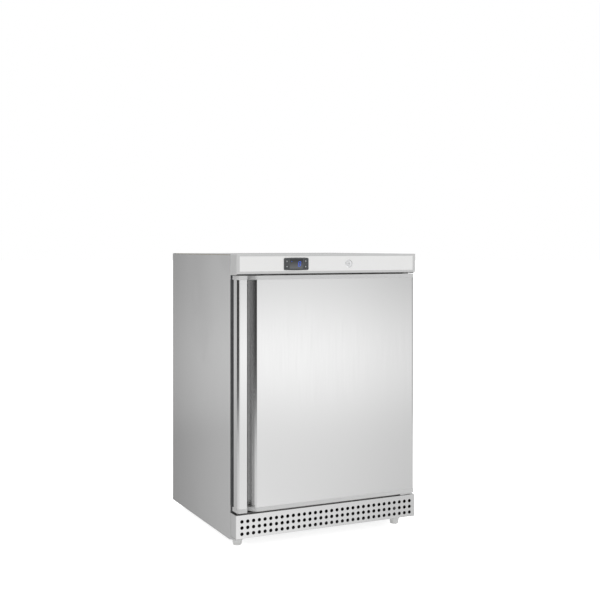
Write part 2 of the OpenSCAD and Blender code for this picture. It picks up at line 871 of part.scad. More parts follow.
module rear_spacers() {
    color("black")
        for (x = [-190, 190])
            translate([x, back_y, cabinet_h - 50]) rotate([-90, 0, 0]) {
                cylinder(h = 4, r = 16);
                cylinder(h = rear_y + spacer_proud - back_y, r1 = 11, r2 = 9);
            }
}

module panel_screws() {
    color(steel_colour)
        for (x = [-285, 285], z = [240, 440, 640, 835])
            screw([x, back_y, z], back = true);
}

// ---- Inside fittings ----

module air_duct_cover() {
    z0 = fan_z - 64;
    z1 = cavity_top - 4;
    color(white_colour)
        difference() {
            block([-160, duct_y, z0], [160, cavity_rear - 0.1, z1]);
            block([-158, duct_y + 2, z0 + 2], [158, cavity_rear + 1, z1 - 2]);
            translate([0, duct_y - 5, fan_z]) rotate([-90, 0, 0]) cylinder(h = 10, r = fan_r + 1);
            for (side = [-1, 1], i = [0 : 5])
                block([side * 112 - 30, duct_y - 5, z0 + 22 + i * 16], [side * 112 + 30, duct_y + 5, z0 + 27 + i * 16]);
        }
}

// Square frame, open in the middle, with the motor on four arms
module fan_frame() {
    color(dark_colour)
        translate([0, fan_y0, fan_z]) {
            difference() {
                block([-60, 0, -60], [60, fan_t + 5.8, 60]);
                translate([0, -5, 0]) rotate([-90, 0, 0]) cylinder(h = 50, r = fan_r + 2);
            }
            translate([0, fan_t - 3, 0]) rotate([-90, 0, 0]) cylinder(h = 8.6, r = hub_r);
            for (a = [0 : 90 : 270])
                rotate([0, a + 45, 0]) block([hub_r - 2, fan_t + 1, -3], [fan_r + 4, fan_t + 5, 3]);
            // Spindle
            rotate([-90, 0, 0]) translate([0, 0, 4]) cylinder(h = fan_t - 5, r = 2);
        }
}

module fan_blades() {
    color("black")
        translate([0, fan_y0, fan_z])
            difference() {
                union() {
                    translate([0, 3, 0]) rotate([-90, 0, 0]) cylinder(h = fan_t - 7, r = hub_r);
                    for (a = [0 : 72 : 288])
                        rotate([0, a, 0])
                            translate([hub_r - 3, 10, 0]) rotate([38, 0, 0])
                                block([0, -0.8, -11], [fan_r - hub_r + 2, 0.8, 11]);
                }
                rotate([-90, 0, 0]) cylinder(h = 40, r = 2 + pin_fit);
            }
}

module fan_guard() {
    wire = 2;
    color(steel_colour)
        translate([0, duct_y - 2 * wire, fan_z]) {
            for (r = [14, 28, 42, fan_r + 4])
                difference() {
                    rotate([-90, 0, 0]) cylinder(h = wire, r = r + wire / 2);
                    translate([0, -1, 0]) rotate([-90, 0, 0]) cylinder(h = wire + 2, r = r - wire / 2);
                }
            for (a = [0, 90])
                rotate([0, a, 0]) block([-fan_r - 6, wire / 2, -wire / 2], [fan_r + 6, wire * 2, wire / 2]);
        }
}

module temperature_probe() {
    color(white_colour) {
        block([cavity_x - 12, 120, 700], [cavity_x - 0.1, 134, 740]);
        rod([cavity_x - 8, 127, 680], [cavity_x - 8, 127, 702], 3);
    }
}

// A flat grid of wires welded across a frame of thicker rods
module wire_shelf(level) {
    z = shelf_z + level * shelf_pitch + rod_r;
    color(white_colour) {
        for (side = [-1, 1])
            rod([side * shelf_x, shelf_front, z], [side * shelf_x, shelf_rear, z], rod_r);
        for (y = [shelf_front, (shelf_front + shelf_rear) / 2, shelf_rear])
            rod([-shelf_x, y, z], [shelf_x, y, z], rod_r);
        for (x = [-shelf_x, shelf_x], y = [shelf_front, shelf_rear])
            translate([x, y, z]) sphere(r = rod_r);
        for (i = [0 : wire_count - 1])
            rod([(i - (wire_count - 1) / 2) * 24.6, shelf_front - 2, z + 3.4],
                [(i - (wire_count - 1) / 2) * 24.6, shelf_rear + 2, z + 3.4], wire_r);
    }
}

module shelf_lower() {
    wire_shelf(0);
}

module shelf_middle() {
    wire_shelf(1);
}

module shelf_upper() {
    wire_shelf(2);
}

// ---- Feet and rollers ----

module foot(side) {
    color("gainsboro")
        translate([side * foot_x, foot_y, 0]) {
            rotate_extrude()
                polygon([[0, 0], [knob_foot_r, 0], [knob_foot_r + 1, 1], [knob_r - 1, 8], [knob_r, 9],
                         [knob_r, 15], [knob_r - 1, 16], [0, 16]]);
            cylinder(h = 52, r = stud_r);
        }
}

module foot_left() {
    foot(-1);
}

module foot_right() {
    foot(1);
}

module roller(side) {
    color(dark_colour)
        translate([side * roller_x - roller_w / 2, roller_y, roller_r])
            rotate([0, 90, 0])
                difference() {
                    cylinder(h = roller_w, r = roller_r);
                    translate([0, 0, -5]) cylinder(h = roller_w + 10, r = axle_r + pin_fit);
                }
}

module roller_left() {
    roller(-1);
}

module roller_right() {
    roller(1);
}

module roller_axles() {
    color(steel_colour)
        for (side = [-1, 1])
            rod([side * roller_x - roller_w / 2 - 4, roller_y, roller_r],
                [side * roller_x + roller_w / 2 + 4, roller_y, roller_r], axle_r);
}

module roller_brackets() {
    color("darkgray")
        for (side = [-1, 1])
            difference() {
                block([side * roller_x - roller_w / 2 - 3.4, roller_y - 17, 7],
                      [side * roller_x + roller_w / 2 + 3.4, roller_y + 17, base_z]);
                block([side * roller_x - roller_w / 2 - 0.9, roller_y - 20, 0],
                      [side * roller_x + roller_w / 2 + 0.9, roller_y + 20, base_z - 2.5]);
                rod([side * roller_x - 30, roller_y, roller_r], [side * roller_x + 30, roller_y, roller_r], axle_r);
            }
}

left_side_panel();
right_side_panel();
top_panel();
back_panel();
floor_panel();
base_pan();
top_rail();
bottom_rail();
cabinet_insulation();
inner_liner();
evaporator_plate();
control_frame();
fascia_label();
controller_housing();
display_window();
lock_housing();
top_hinge();
bottom_hinge();
hinge_screws();
plinth_grille();
compressor();
compressor_grommets();
terminal_box();
condenser();
condenser_brackets();
filter_dryer();
refrigerant_pipes();
evaporation_tray();
drain_tube();
air_duct_cover();
fan_frame();
fan_guard();
temperature_probe();
cable_gland();
rear_spacers();
panel_screws();
roller_brackets();
roller_axles();
door_skin();
door_top_cap();
door_bottom_cap();
door_insulation();
door_liner();
door_gasket();
hinge_bushes();
lock_barrel();
lock_cam();
key_upper_left();
key_lower_left();
key_upper_right();
key_lower_right();
shelf_lower();
shelf_middle();
shelf_upper();
fan_blades();
foot_left();
foot_right();
roller_left();
roller_right();
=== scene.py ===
"""Looks for an undercounter refrigerator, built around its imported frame.

Every length is in metres, in the frame's own coordinates: +Z up, the front faces -Y.
"""

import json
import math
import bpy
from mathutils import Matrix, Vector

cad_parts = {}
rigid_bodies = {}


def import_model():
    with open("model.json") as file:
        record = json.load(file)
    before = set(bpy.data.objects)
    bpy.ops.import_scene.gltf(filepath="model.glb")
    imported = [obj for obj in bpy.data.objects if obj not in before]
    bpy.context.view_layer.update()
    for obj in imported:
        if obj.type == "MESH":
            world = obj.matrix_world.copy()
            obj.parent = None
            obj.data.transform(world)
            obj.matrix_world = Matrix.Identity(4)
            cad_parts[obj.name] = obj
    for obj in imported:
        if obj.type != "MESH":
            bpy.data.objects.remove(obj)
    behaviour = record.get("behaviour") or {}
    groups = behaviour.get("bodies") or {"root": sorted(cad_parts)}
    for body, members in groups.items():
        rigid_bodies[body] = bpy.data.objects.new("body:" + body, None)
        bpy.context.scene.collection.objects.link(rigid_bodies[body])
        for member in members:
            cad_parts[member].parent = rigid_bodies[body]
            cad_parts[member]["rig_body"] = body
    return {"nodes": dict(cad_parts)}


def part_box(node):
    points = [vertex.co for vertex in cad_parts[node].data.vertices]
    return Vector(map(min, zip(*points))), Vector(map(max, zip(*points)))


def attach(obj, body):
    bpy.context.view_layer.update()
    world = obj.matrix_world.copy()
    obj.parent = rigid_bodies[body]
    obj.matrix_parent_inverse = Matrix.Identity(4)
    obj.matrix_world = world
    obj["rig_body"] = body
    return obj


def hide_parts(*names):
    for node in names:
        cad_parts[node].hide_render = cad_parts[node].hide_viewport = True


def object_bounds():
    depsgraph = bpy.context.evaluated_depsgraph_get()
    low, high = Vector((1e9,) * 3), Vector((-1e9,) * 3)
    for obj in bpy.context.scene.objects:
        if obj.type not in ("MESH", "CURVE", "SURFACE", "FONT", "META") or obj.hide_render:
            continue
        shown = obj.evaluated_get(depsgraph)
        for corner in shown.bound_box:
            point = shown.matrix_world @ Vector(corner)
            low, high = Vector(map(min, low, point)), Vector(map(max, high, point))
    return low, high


bl_info = {
    "name": "Undercounter refrigerator",
    "version": (1, 0, 0),
    "blender": (4, 5, 0),
    "location": "3D View > Sidebar > Refrigerator",
    "description": "Surfaces, materials and studio for an undercounter refrigerator",
    "category": "Add Mesh",
}

import bmesh
import bpy
import numpy as np
from bpy.props import FloatProperty, FloatVectorProperty, IntProperty, PointerProperty

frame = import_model()
cad_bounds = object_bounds()

MM = 0.001


def span(node):
    """Lowest and highest corner of a CAD node, as arrays."""
    low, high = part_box(node)
    return np.array(low), np.array(high)


FRONT = span("control_frame")[0][1]
LEFT = cad_bounds[0][0]
DOOR_LOW, DOOR_HIGH = span("door_skin")


# ---- Sizes and colours that a user would change ----

def length(name, description, default):
    """A size in metres."""
    return FloatProperty(name=name, description=description, default=default, unit="LENGTH")


def factor(name, description, default):
    """A share without a unit."""
    return FloatProperty(name=name, description=description, default=default, subtype="FACTOR")


def colour(name, description, default):
    """A colour, red, green and blue."""
    return FloatVectorProperty(name=name, description=description, default=default, subtype="COLOR")


class DoorShape(bpy.types.PropertyGroup):
    """Outline of the door in the plan of the cabinet"""
    corner: length("Corner", "Radius of the door's front corners", 0.009)
    grip_edge: length("Grip edge", "From the cabinet's side to the grip's free edge", 0.0325)
    grip_depth: length("Grip depth", "Depth of the grip strip's rear face", 0.009)
    pocket_left: length("Undercut", "From the cabinet's side to the pocket's far wall", 0.016)
    pocket_bend: length("Pocket bend", "Radius of the bend at the pocket's far wall", 0.006)
    pocket_depth: length("Pocket depth", "Depth of the finger pocket's floor", 0.026)
    pocket_toe: length("Pocket toe", "From the cabinet's side to the slope's foot", 0.043)
    pocket_lip: length("Pocket lip", "From the cabinet's side to the slope's lip", 0.064)
    lip: length("Lip", "Radius of the pocket's lip", 0.003)
    toe: length("Toe", "Radius at the slope's foot", 0.008)
    sheet: length("Sheet", "Thickness of the door's steel", 0.001)
    hem: length("Hem", "Width of the flange turned in behind the door's sides", 0.007)


class Grille(bpy.types.PropertyGroup):
    """Holes and folds of the plinth grille"""
    columns: IntProperty(name="Columns", description="Holes in one row", default=32)
    rows: IntProperty(name="Rows", description="Rows of holes", default=3)
    pitch_x: length("Column pitch", "Distance between columns of holes", 0.01816)
    pitch_z: length("Row pitch", "Distance between rows of holes", 0.01775)
    first_row: length("First row", "Height of the lowest row above the lower edge", 0.0137)
    radius: length("Hole radius", "Radius of a hole", 0.0052)
    chamfer: length("Hole chamfer", "Break of a hole's edge", 0.00015)
    sheet: length("Sheet", "Thickness of the sheet; its folds are doubled", 0.0006)
    fold: length("Fold", "Rounding of the folded edges", 0.0005)
    upper_flange: length("Upper flange", "Depth of the flange along the upper edge", 0.0255)
    lower_flange: length("Lower flange", "Depth of the flange along the lower edge", 0.0075)


class Details(bpy.types.PropertyGroup):
    """Sizes of the small parts"""
    sheet_edge: length("Sheet edge", "Rounding of folded and cut steel edges", 0.0004)
    moulded_edge: length("Moulded edge", "Rounding of plastic edges", 0.0012)
    bezel_corner: length("Bezel corner", "Corner radius of the controller's bezel", 0.0032)
    bezel_belly: factor("Bezel belly", "How much lower the bezel is at its ends", 0.05)
    digit_height: length("Digit height", "Height of the display's digit", 0.0135)
    digit_slant: factor("Digit slant", "Sideways lean of the digit for its height", 0.16)
    foot_flutes: IntProperty(name="Foot flutes", description="Grip flutes round a levelling foot",
                             default=18)
    # The dark strips are painted shade in the gaps beside the door's sides.
    seal_width: length("Shade strip width", "Width of the dark strips behind the door's sides", 0.0185)
    seal_thickness: length("Shade strip thickness", "Thickness of the dark strips", 0.0003)
    condenser_wires: IntProperty(name="Condenser wires", description="Upright wires of the condenser",
                                 default=44)


class Colours(bpy.types.PropertyGroup):
    """Colours of the main finishes"""
    steel: colour("Steel", "Stainless steel", (0.60, 0.60, 0.60))
    frame: colour("Frame", "Control frame and door caps", (0.61, 0.612, 0.61))
    label: colour("Label", "Label in the control frame", (0.86, 0.86, 0.855))
    lining: colour("Lining", "White plastic inside", (0.80, 0.80, 0.79))
    digit: colour("Digit", "Light of the display", (0.02, 0.09, 0.62))


class Studio(bpy.types.PropertyGroup):
    """Light and camera"""
    lens: FloatProperty(name="Lens", description="Focal length of the camera", default=60.47, unit="CAMERA")
    shift: FloatProperty(name="Shift", description="Upward shift of the camera's frame", default=-0.0887)
    eye: FloatVectorProperty(name="Eye", description="Where the camera stands", subtype="TRANSLATION",
                             default=(-1.3824, -2.9735, 0.8766))
    heading: FloatProperty(name="Heading", description="Turn of the camera from straight ahead",
                           default=math.radians(-25.575), subtype="ANGLE")
    band: factor("Bright band", "How much brighter the walls are a little below eye level", 0.68)
    band_slope: factor("Band slope", "Downward slope at which the bright band is seen", 0.106)
    band_spread: factor("Band spread", "Half width of the bright band, as a slope", 0.042)
    overhead: FloatProperty(name="Overhead", description="Large soft light above", default=13.0,
                            unit="POWER")
    front_fill: FloatProperty(name="Front fill", description="Soft light high in front", default=3.0,
                              unit="POWER")


# ---- Surfaces ----

AXES = {"z": np.eye(3), "y": np.array([[1, 0, 0], [0, 0, -1], [0, 1, 0.0]]),
        "x": np.array([[0, 1, 0], [0, 0, 1], [1, 0, 0.0]]),
        "-y": np.array([[1, 0, 0], [0, 0, 1], [0, -1, 0.0]])}


def place(points, centre, axis="z"):
    """Turns local points so that their third coordinate runs along the axis, and moves them to the centre."""
    return points @ AXES[axis] + np.asarray(centre, float)


def arc(cx, cy, radius, start, end, steps=10):
    """Centre plus radius times the cosine and sine of an angle that runs evenly from start to end."""
    a = np.radians(np.linspace(start, end, steps + 1))
    return np.stack([cx + radius * np.cos(a), cy + radius * np.sin(a)], -1)


def rounded_rectangle(width, height, radius, steps=6):
    """Four quarter circles, one centred a radius inside each corner, joined by straight lines."""
    x, y = width / 2 - radius, height / 2 - radius
    corners = ((x, y, 0), (-x, y, 90), (-x, -y, 180), (x, -y, 270))
    return np.concatenate([arc(cx, cy, radius, a, a + 90, steps) for cx, cy, a in corners])


def box_loop(x, z):
    """Points once round a box: along its lower side, up, back along the upper side and down."""
    return np.concatenate([np.column_stack([x[:-1], 0 * x[:-1] + z[0]]),
                           np.column_stack([0 * z[:-1] + x[-1], z[:-1]]),
                           np.column_stack([x[:0:-1], 0 * x[1:] + z[-1]]),
                           np.column_stack([0 * z[1:] + x[0], z[:0:-1]])])


def flat_rings(outlines, levels):
    """Gives each two-dimensional outline its level as a third coordinate."""
    return np.stack([np.column_stack([o, np.full(len(o), z)]) for o, z in zip(outlines, levels)])


def loft(rings, closed=False):
    """Quads between neighbouring rings of equal length; open ends are closed by flat caps."""
    rings = np.asarray(rings, float)
    rows, cols = rings.shape[:2]
    i, j = np.meshgrid(np.arange(rows if closed else rows - 1), np.arange(cols), indexing="ij")
    down, right = (i + 1) % rows, (j + 1) % cols
    quads = np.stack([i * cols + j, i * cols + right, down * cols + right, down * cols + j], -1)
    faces = quads.reshape(-1, 4).tolist()
    if not closed:
        faces.append(list(range(cols))[::-1])
        faces.append(list(range((rows - 1) * cols, rows * cols)))
    return rings.reshape(-1, 3), faces


def slab(outline, low, high, edge, centre, axis="z", steps=3):
    """A thick plate: outline(inset) is drawn in along a quarter circle at both ends of its thickness."""
    turn = np.radians(np.linspace(0, 90, steps + 1))
    inset = edge * (1 - np.sin(turn))
    rise = edge * (1 - np.cos(turn))
    insets = np.concatenate([inset, inset[::-1]])
    levels = np.concatenate([low + rise, high - rise[::-1]])
    rings = flat_rings([outline(i) for i in insets], levels)
    return loft(place(rings, centre, axis))


def plate(outline, low, high, centre=(0, 0, 0), axis="z"):
    """A flat plate with square edges: the same outline at two levels."""
    return loft(place(flat_rings([outline, outline], [low, high]), centre, axis))


def block(low, high, edge=0.0006):
    """A box with rounded edges: a rounded rectangle drawn in at both ends."""
    low, high = np.asarray(low, float), np.asarray(high, float)
    size = high - low
    middle = (low + high) / 2
    return slab(lambda i: rounded_rectangle(size[0] - 2 * i, size[1] - 2 * i, max(edge * 1.2 - i, 1e-5), 2),
                -size[2] / 2, size[2] / 2, edge, middle, steps=2)


def revolve(profile, centre, axis="z", steps=48, ripple=None, closed=False):
    """Radius and height turned about an axis: radius times cosine and sine of the angle, then the height.

    ripple(angle, height) multiplies the radius where it is given. A closed profile meets its own start.
    """
    profile = np.asarray(profile, float)
    angle = np.arange(steps) * 2 * np.pi / steps
    radius = profile[:, :1] * np.ones(steps)
    if ripple is not None:
        radius = radius * ripple(angle[None, :], profile[:, 1:])
    rings = np.stack([radius * np.cos(angle), radius * np.sin(angle), profile[:, 1:] + 0 * angle], -1)
    return loft(place(rings, centre, axis), closed)


def tube(path, radius, sides=12, closed=False, up=(1, 2, 3)):
    """A circle carried along a path, square to it: path point plus radius times two side directions."""
    path = np.asarray(path, float)
    ahead = np.roll(path, -1, 0) - np.roll(path, 1, 0) if closed else np.gradient(path, axis=0)
    ahead /= np.linalg.norm(ahead, axis=1, keepdims=True)
    side = np.cross(np.asarray(up, float), ahead)
    side /= np.linalg.norm(side, axis=1, keepdims=True)
    other = np.cross(ahead, side)
    a = (np.arange(sides) * 2 * np.pi / sides)[None, :, None]
    rings = path[:, None] + radius * (side[:, None] * np.cos(a) + other[:, None] * np.sin(a))
    return loft(rings, closed)


def rod(start, end, radius, sides=10, up=(1, 2, 3)):
    """A straight round wire with slightly rounded ends."""
    start, end = np.asarray(start, float), np.asarray(end, float)
    way = (end - start) / np.linalg.norm(end - start)
    tip = radius * 0.35
    path = [start, start + way * tip, end - way * tip, end]
    points, faces = tube(path, radius, sides, up=up)
    rings = points.reshape(4, sides, 3)
    rings[0] = start + (rings[0] - start) * 0.7
    rings[3] = end + (rings[3] - end) * 0.7
    return rings.reshape(-1, 3), faces


def bent(corners, bend, steps=8, closed=False):
    """A path whose corners are quadratic curves that start and end at a distance from each corner."""
    corners = [np.asarray(c, float) for c in corners]
    count = len(corners)
    s = np.linspace(0, 1, steps + 1)[:, None]
    path = [] if closed else [corners[0][None]]
    for i in range(0 if closed else 1, count if closed else count - 1):
        before, here, after = corners[i - 1], corners[i], corners[(i + 1) % count]
        a = here + bend * (before - here) / np.linalg.norm(before - here)
        b = here + bend * (after - here) / np.linalg.norm(after - here)
        path.append((1 - s) ** 2 * a + 2 * s * (1 - s) * here + s ** 2 * b)
    if not closed:
        path.append(corners[-1][None])
    return np.concatenate(path)


# ---- Objects ----

def add_object(name, mesh, body, slot, replaced):
    """Links a mesh as a piece that rides on a body, has a slot's finish and stands for CAD nodes."""
    piece = bpy.data.objects.new(name, mesh)
    bpy.context.scene.collection.objects.link(piece)
    mesh.materials.append(finish(slot))
    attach(piece, body)
    if replaced:
        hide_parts(*replaced)
    return piece


def even_shading(piece):
    """Lets the largest faces set the shading, so flat sheets mirror like flat sheets."""
    weight = piece.modifiers.new("Even shading", "WEIGHTED_NORMAL")
    weight.weight = 80
    weight.keep_sharp = True


def build(name, parts, body, slot, replaced=(), sharp=38):
    """One piece from several closed surfaces, with poles merged, faces outward and sharp edges marked."""
    offset, points, faces = 0, [], []
    for part_points, part_faces in parts:
        points.append(part_points)
        faces += [[offset + v for v in face] for face in part_faces]
        offset += len(part_points)
    mesh = bpy.data.meshes.new(name)
    mesh.from_pydata(np.concatenate(points).tolist(), [], faces)
    bm = bmesh.new()
    bm.from_mesh(mesh)
    bmesh.ops.remove_doubles(bm, verts=bm.verts, dist=1e-6)
    bmesh.ops.recalc_face_normals(bm, faces=bm.faces)
    bm.to_mesh(mesh)
    bm.free()
    mesh.shade_smooth()
    mesh.set_sharp_from_angle(angle=math.radians(sharp))
    piece = add_object(name, mesh, body, slot, replaced)
    even_shading(piece)
    return piece


def softened(node, slot, width, segments=2, subdivide=0, reshape=None):
    """A merged copy of a CAD node, its sharp edges rounded to a width, or its whole surface subdivided."""
    source = frame["nodes"][node]
    mesh = bpy.data.meshes.new(node + "_finished")
    bm = bmesh.new()
    bm.from_mesh(source.data)
    bmesh.ops.remove_doubles(bm, verts=bm.verts, dist=2e-6)
    if not subdivide:
        bmesh.ops.dissolve_limit(bm, angle_limit=math.radians(0.4), verts=bm.verts, edges=bm.edges)
    if reshape:
        reshape(bm)
    bm.to_mesh(mesh)
    bm.free()
    mesh.shade_smooth()
    piece = add_object(mesh.name, mesh, source["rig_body"], slot, [node])
    if subdivide:
        smooth = piece.modifiers.new("Smooth surface", "SUBSURF")
        smooth.levels = smooth.render_levels = subdivide
    if width:
        bevel = piece.modifiers.new("Rounded edges", "BEVEL")
        bevel.width = width
        bevel.segments = segments
        bevel.limit_method = "ANGLE"
        bevel.angle_limit = math.radians(32)
        bevel.use_clamp_overlap = True
    if not subdivide:
        even_shading(piece)


def soften_all(rows):
    """Finishes rows of CAD nodes: the nodes' names, their slot, the width and the steps of the rounding."""
    for nodes, slot, width, *segments in rows:
        for node in nodes.split():
            softened(node, slot, width, *segments)


# ---- Shader groups ----

class Shading:
    """Adds nodes to a shader tree, setting or linking their inputs by name."""

    def __init__(self, tree):
        self.tree = tree

    def add(self, kind, inputs=None, **settings):
        """A new node of a kind, with its inputs set or linked."""
        node = self.tree.nodes.new(kind if kind.startswith("Node") else "ShaderNode" + kind)
        for key, value in settings.items():
            setattr(node, key, value)
        for key, value in (inputs or {}).items():
            if isinstance(value, bpy.types.NodeSocket):
                self.tree.links.new(value, node.inputs[key])
            else:
                node.inputs[key].default_value = value
        return node

    def math(self, operation, a, b=0.0, clamp=False):
        """One sum of two values."""
        return self.add("Math", {0: a, 1: b}, operation=operation, use_clamp=clamp).outputs[0]

    def ramp(self, value, low, high):
        """From 0 at low to 1 at high, with a soft start and end."""
        return self.add("MapRange", {"Value": value, "From Min": low, "From Max": high},
                        interpolation_type="SMOOTHSTEP").outputs["Result"]

    def blend(self, factor, a, b):
        """The first colour at 0, the second at 1."""
        node = self.add("Mix", data_type="RGBA")
        sockets = {"Factor": factor, "A": a, "B": b}
        for socket in node.inputs:
            if socket.name in sockets and socket.type == ("VALUE" if socket.name == "Factor" else "RGBA"):
                value = sockets[socket.name]
                if isinstance(value, bpy.types.NodeSocket):
                    self.tree.links.new(value, socket)
                else:
                    socket.default_value = value
        return next(s for s in node.outputs if s.type == "RGBA")


def new_group(name, inputs, outputs):
    """An empty shader group with named sockets, and its Shading."""
    tree = bpy.data.node_groups.new(name, "ShaderNodeTree")
    for in_out, sockets in (("INPUT", inputs), ("OUTPUT", outputs)):
        for label, kind, value in sockets:
            socket = tree.interface.new_socket(label, in_out=in_out, socket_type="NodeSocket" + kind)
            if value is not None:
                socket.default_value = value
    shading = Shading(tree)
    return tree, shading, shading.add("NodeGroupInput").outputs, shading.add("NodeGroupOutput").inputs


def grain_group():
    """Fine streaks or grain: noise on coordinates stretched by a vector, from 0 to 1."""
    tree, s, given, out = new_group("Fine grain", [
        ("Vector", "Vector", None), ("Stretch", "Vector", (1, 1, 1)), ("Detail", "Float", 4.0)],
        [("Value", "Float", None)])
    stretched = s.add("VectorMath", {0: given["Vector"], 1: given["Stretch"]}, operation="MULTIPLY")
    noise = s.add("TexNoise", {"Vector": stretched.outputs[0], "Scale": 1.0, "Detail": given["Detail"],
                               "Roughness": 0.6})
    s.tree.links.new(s.ramp(noise.outputs["Fac"], 0.25, 0.75), out["Value"])
    return tree


def patches_group():
    """Soft cloudy patches, such as handling marks or settled dust: two noises, one breaking up the other."""
    tree, s, given, out = new_group("Soft patches", [
        ("Vector", "Vector", None), ("Scale", "Float", 6.0), ("Coverage", "Float", 0.4)],
        [("Mask", "Float", None)])
    large = s.add("TexNoise", {"Vector": given["Vector"], "Scale": given["Scale"], "Detail": 3.0,
                               "Distortion": 0.6})
    finer = s.math("MULTIPLY", given["Scale"], 7.0)
    small = s.add("TexNoise", {"Vector": given["Vector"], "Scale": finer, "Detail": 2.0})
    total = s.math("ADD", large.outputs["Fac"], s.math("MULTIPLY", small.outputs["Fac"], 0.22))
    start = s.math("SUBTRACT", 0.86, s.math("MULTIPLY", given["Coverage"], 0.5))
    end = s.math("ADD", start, 0.16)
    s.tree.links.new(s.ramp(total, start, end), out["Mask"])
    return tree


def spangle_group():
    """Crystal flakes of a zinc coating: each cell has one shade of its own."""
    tree, s, given, out = new_group("Zinc spangle", [("Vector", "Vector", None), ("Scale", "Float", 90.0)],
                                    [("Shade", "Float", None)])
    cells = s.add("TexVoronoi", {"Vector": given["Vector"], "Scale": given["Scale"]})
    parts = s.add("SeparateColor", {"Color": cells.outputs["Color"]})
    s.tree.links.new(parts.outputs[0], out["Shade"])
    return tree


def rim_group():
    """Light wear on rims: how sharply the surface turns outward at a point."""
    tree, s, given, out = new_group("Rim wear", [("Amount", "Float", 0.5)], [("Mask", "Float", None)])
    point = s.add("NewGeometry").outputs["Pointiness"]
    turned = s.ramp(point, 0.51, 0.60)
    s.tree.links.new(s.math("MULTIPLY", turned, given["Amount"], clamp=True), out["Mask"])
    return tree


GROUPS = {"grain": ("Fine grain", grain_group), "patches": ("Soft patches", patches_group),
          "spangle": ("Zinc spangle", spangle_group), "rim": ("Rim wear", rim_group)}


def group_node(shading, key, **inputs):
    """Places a shared group, building it the first time."""
    label, make = GROUPS[key]
    node = shading.add("Group", node_tree=bpy.data.node_groups.get(label) or make())
    for name, value in inputs.items():
        socket = node.inputs[name.capitalize()]
        if isinstance(value, bpy.types.NodeSocket):
            shading.tree.links.new(value, socket)
        else:
            socket.default_value = value
    return node.outputs[0]
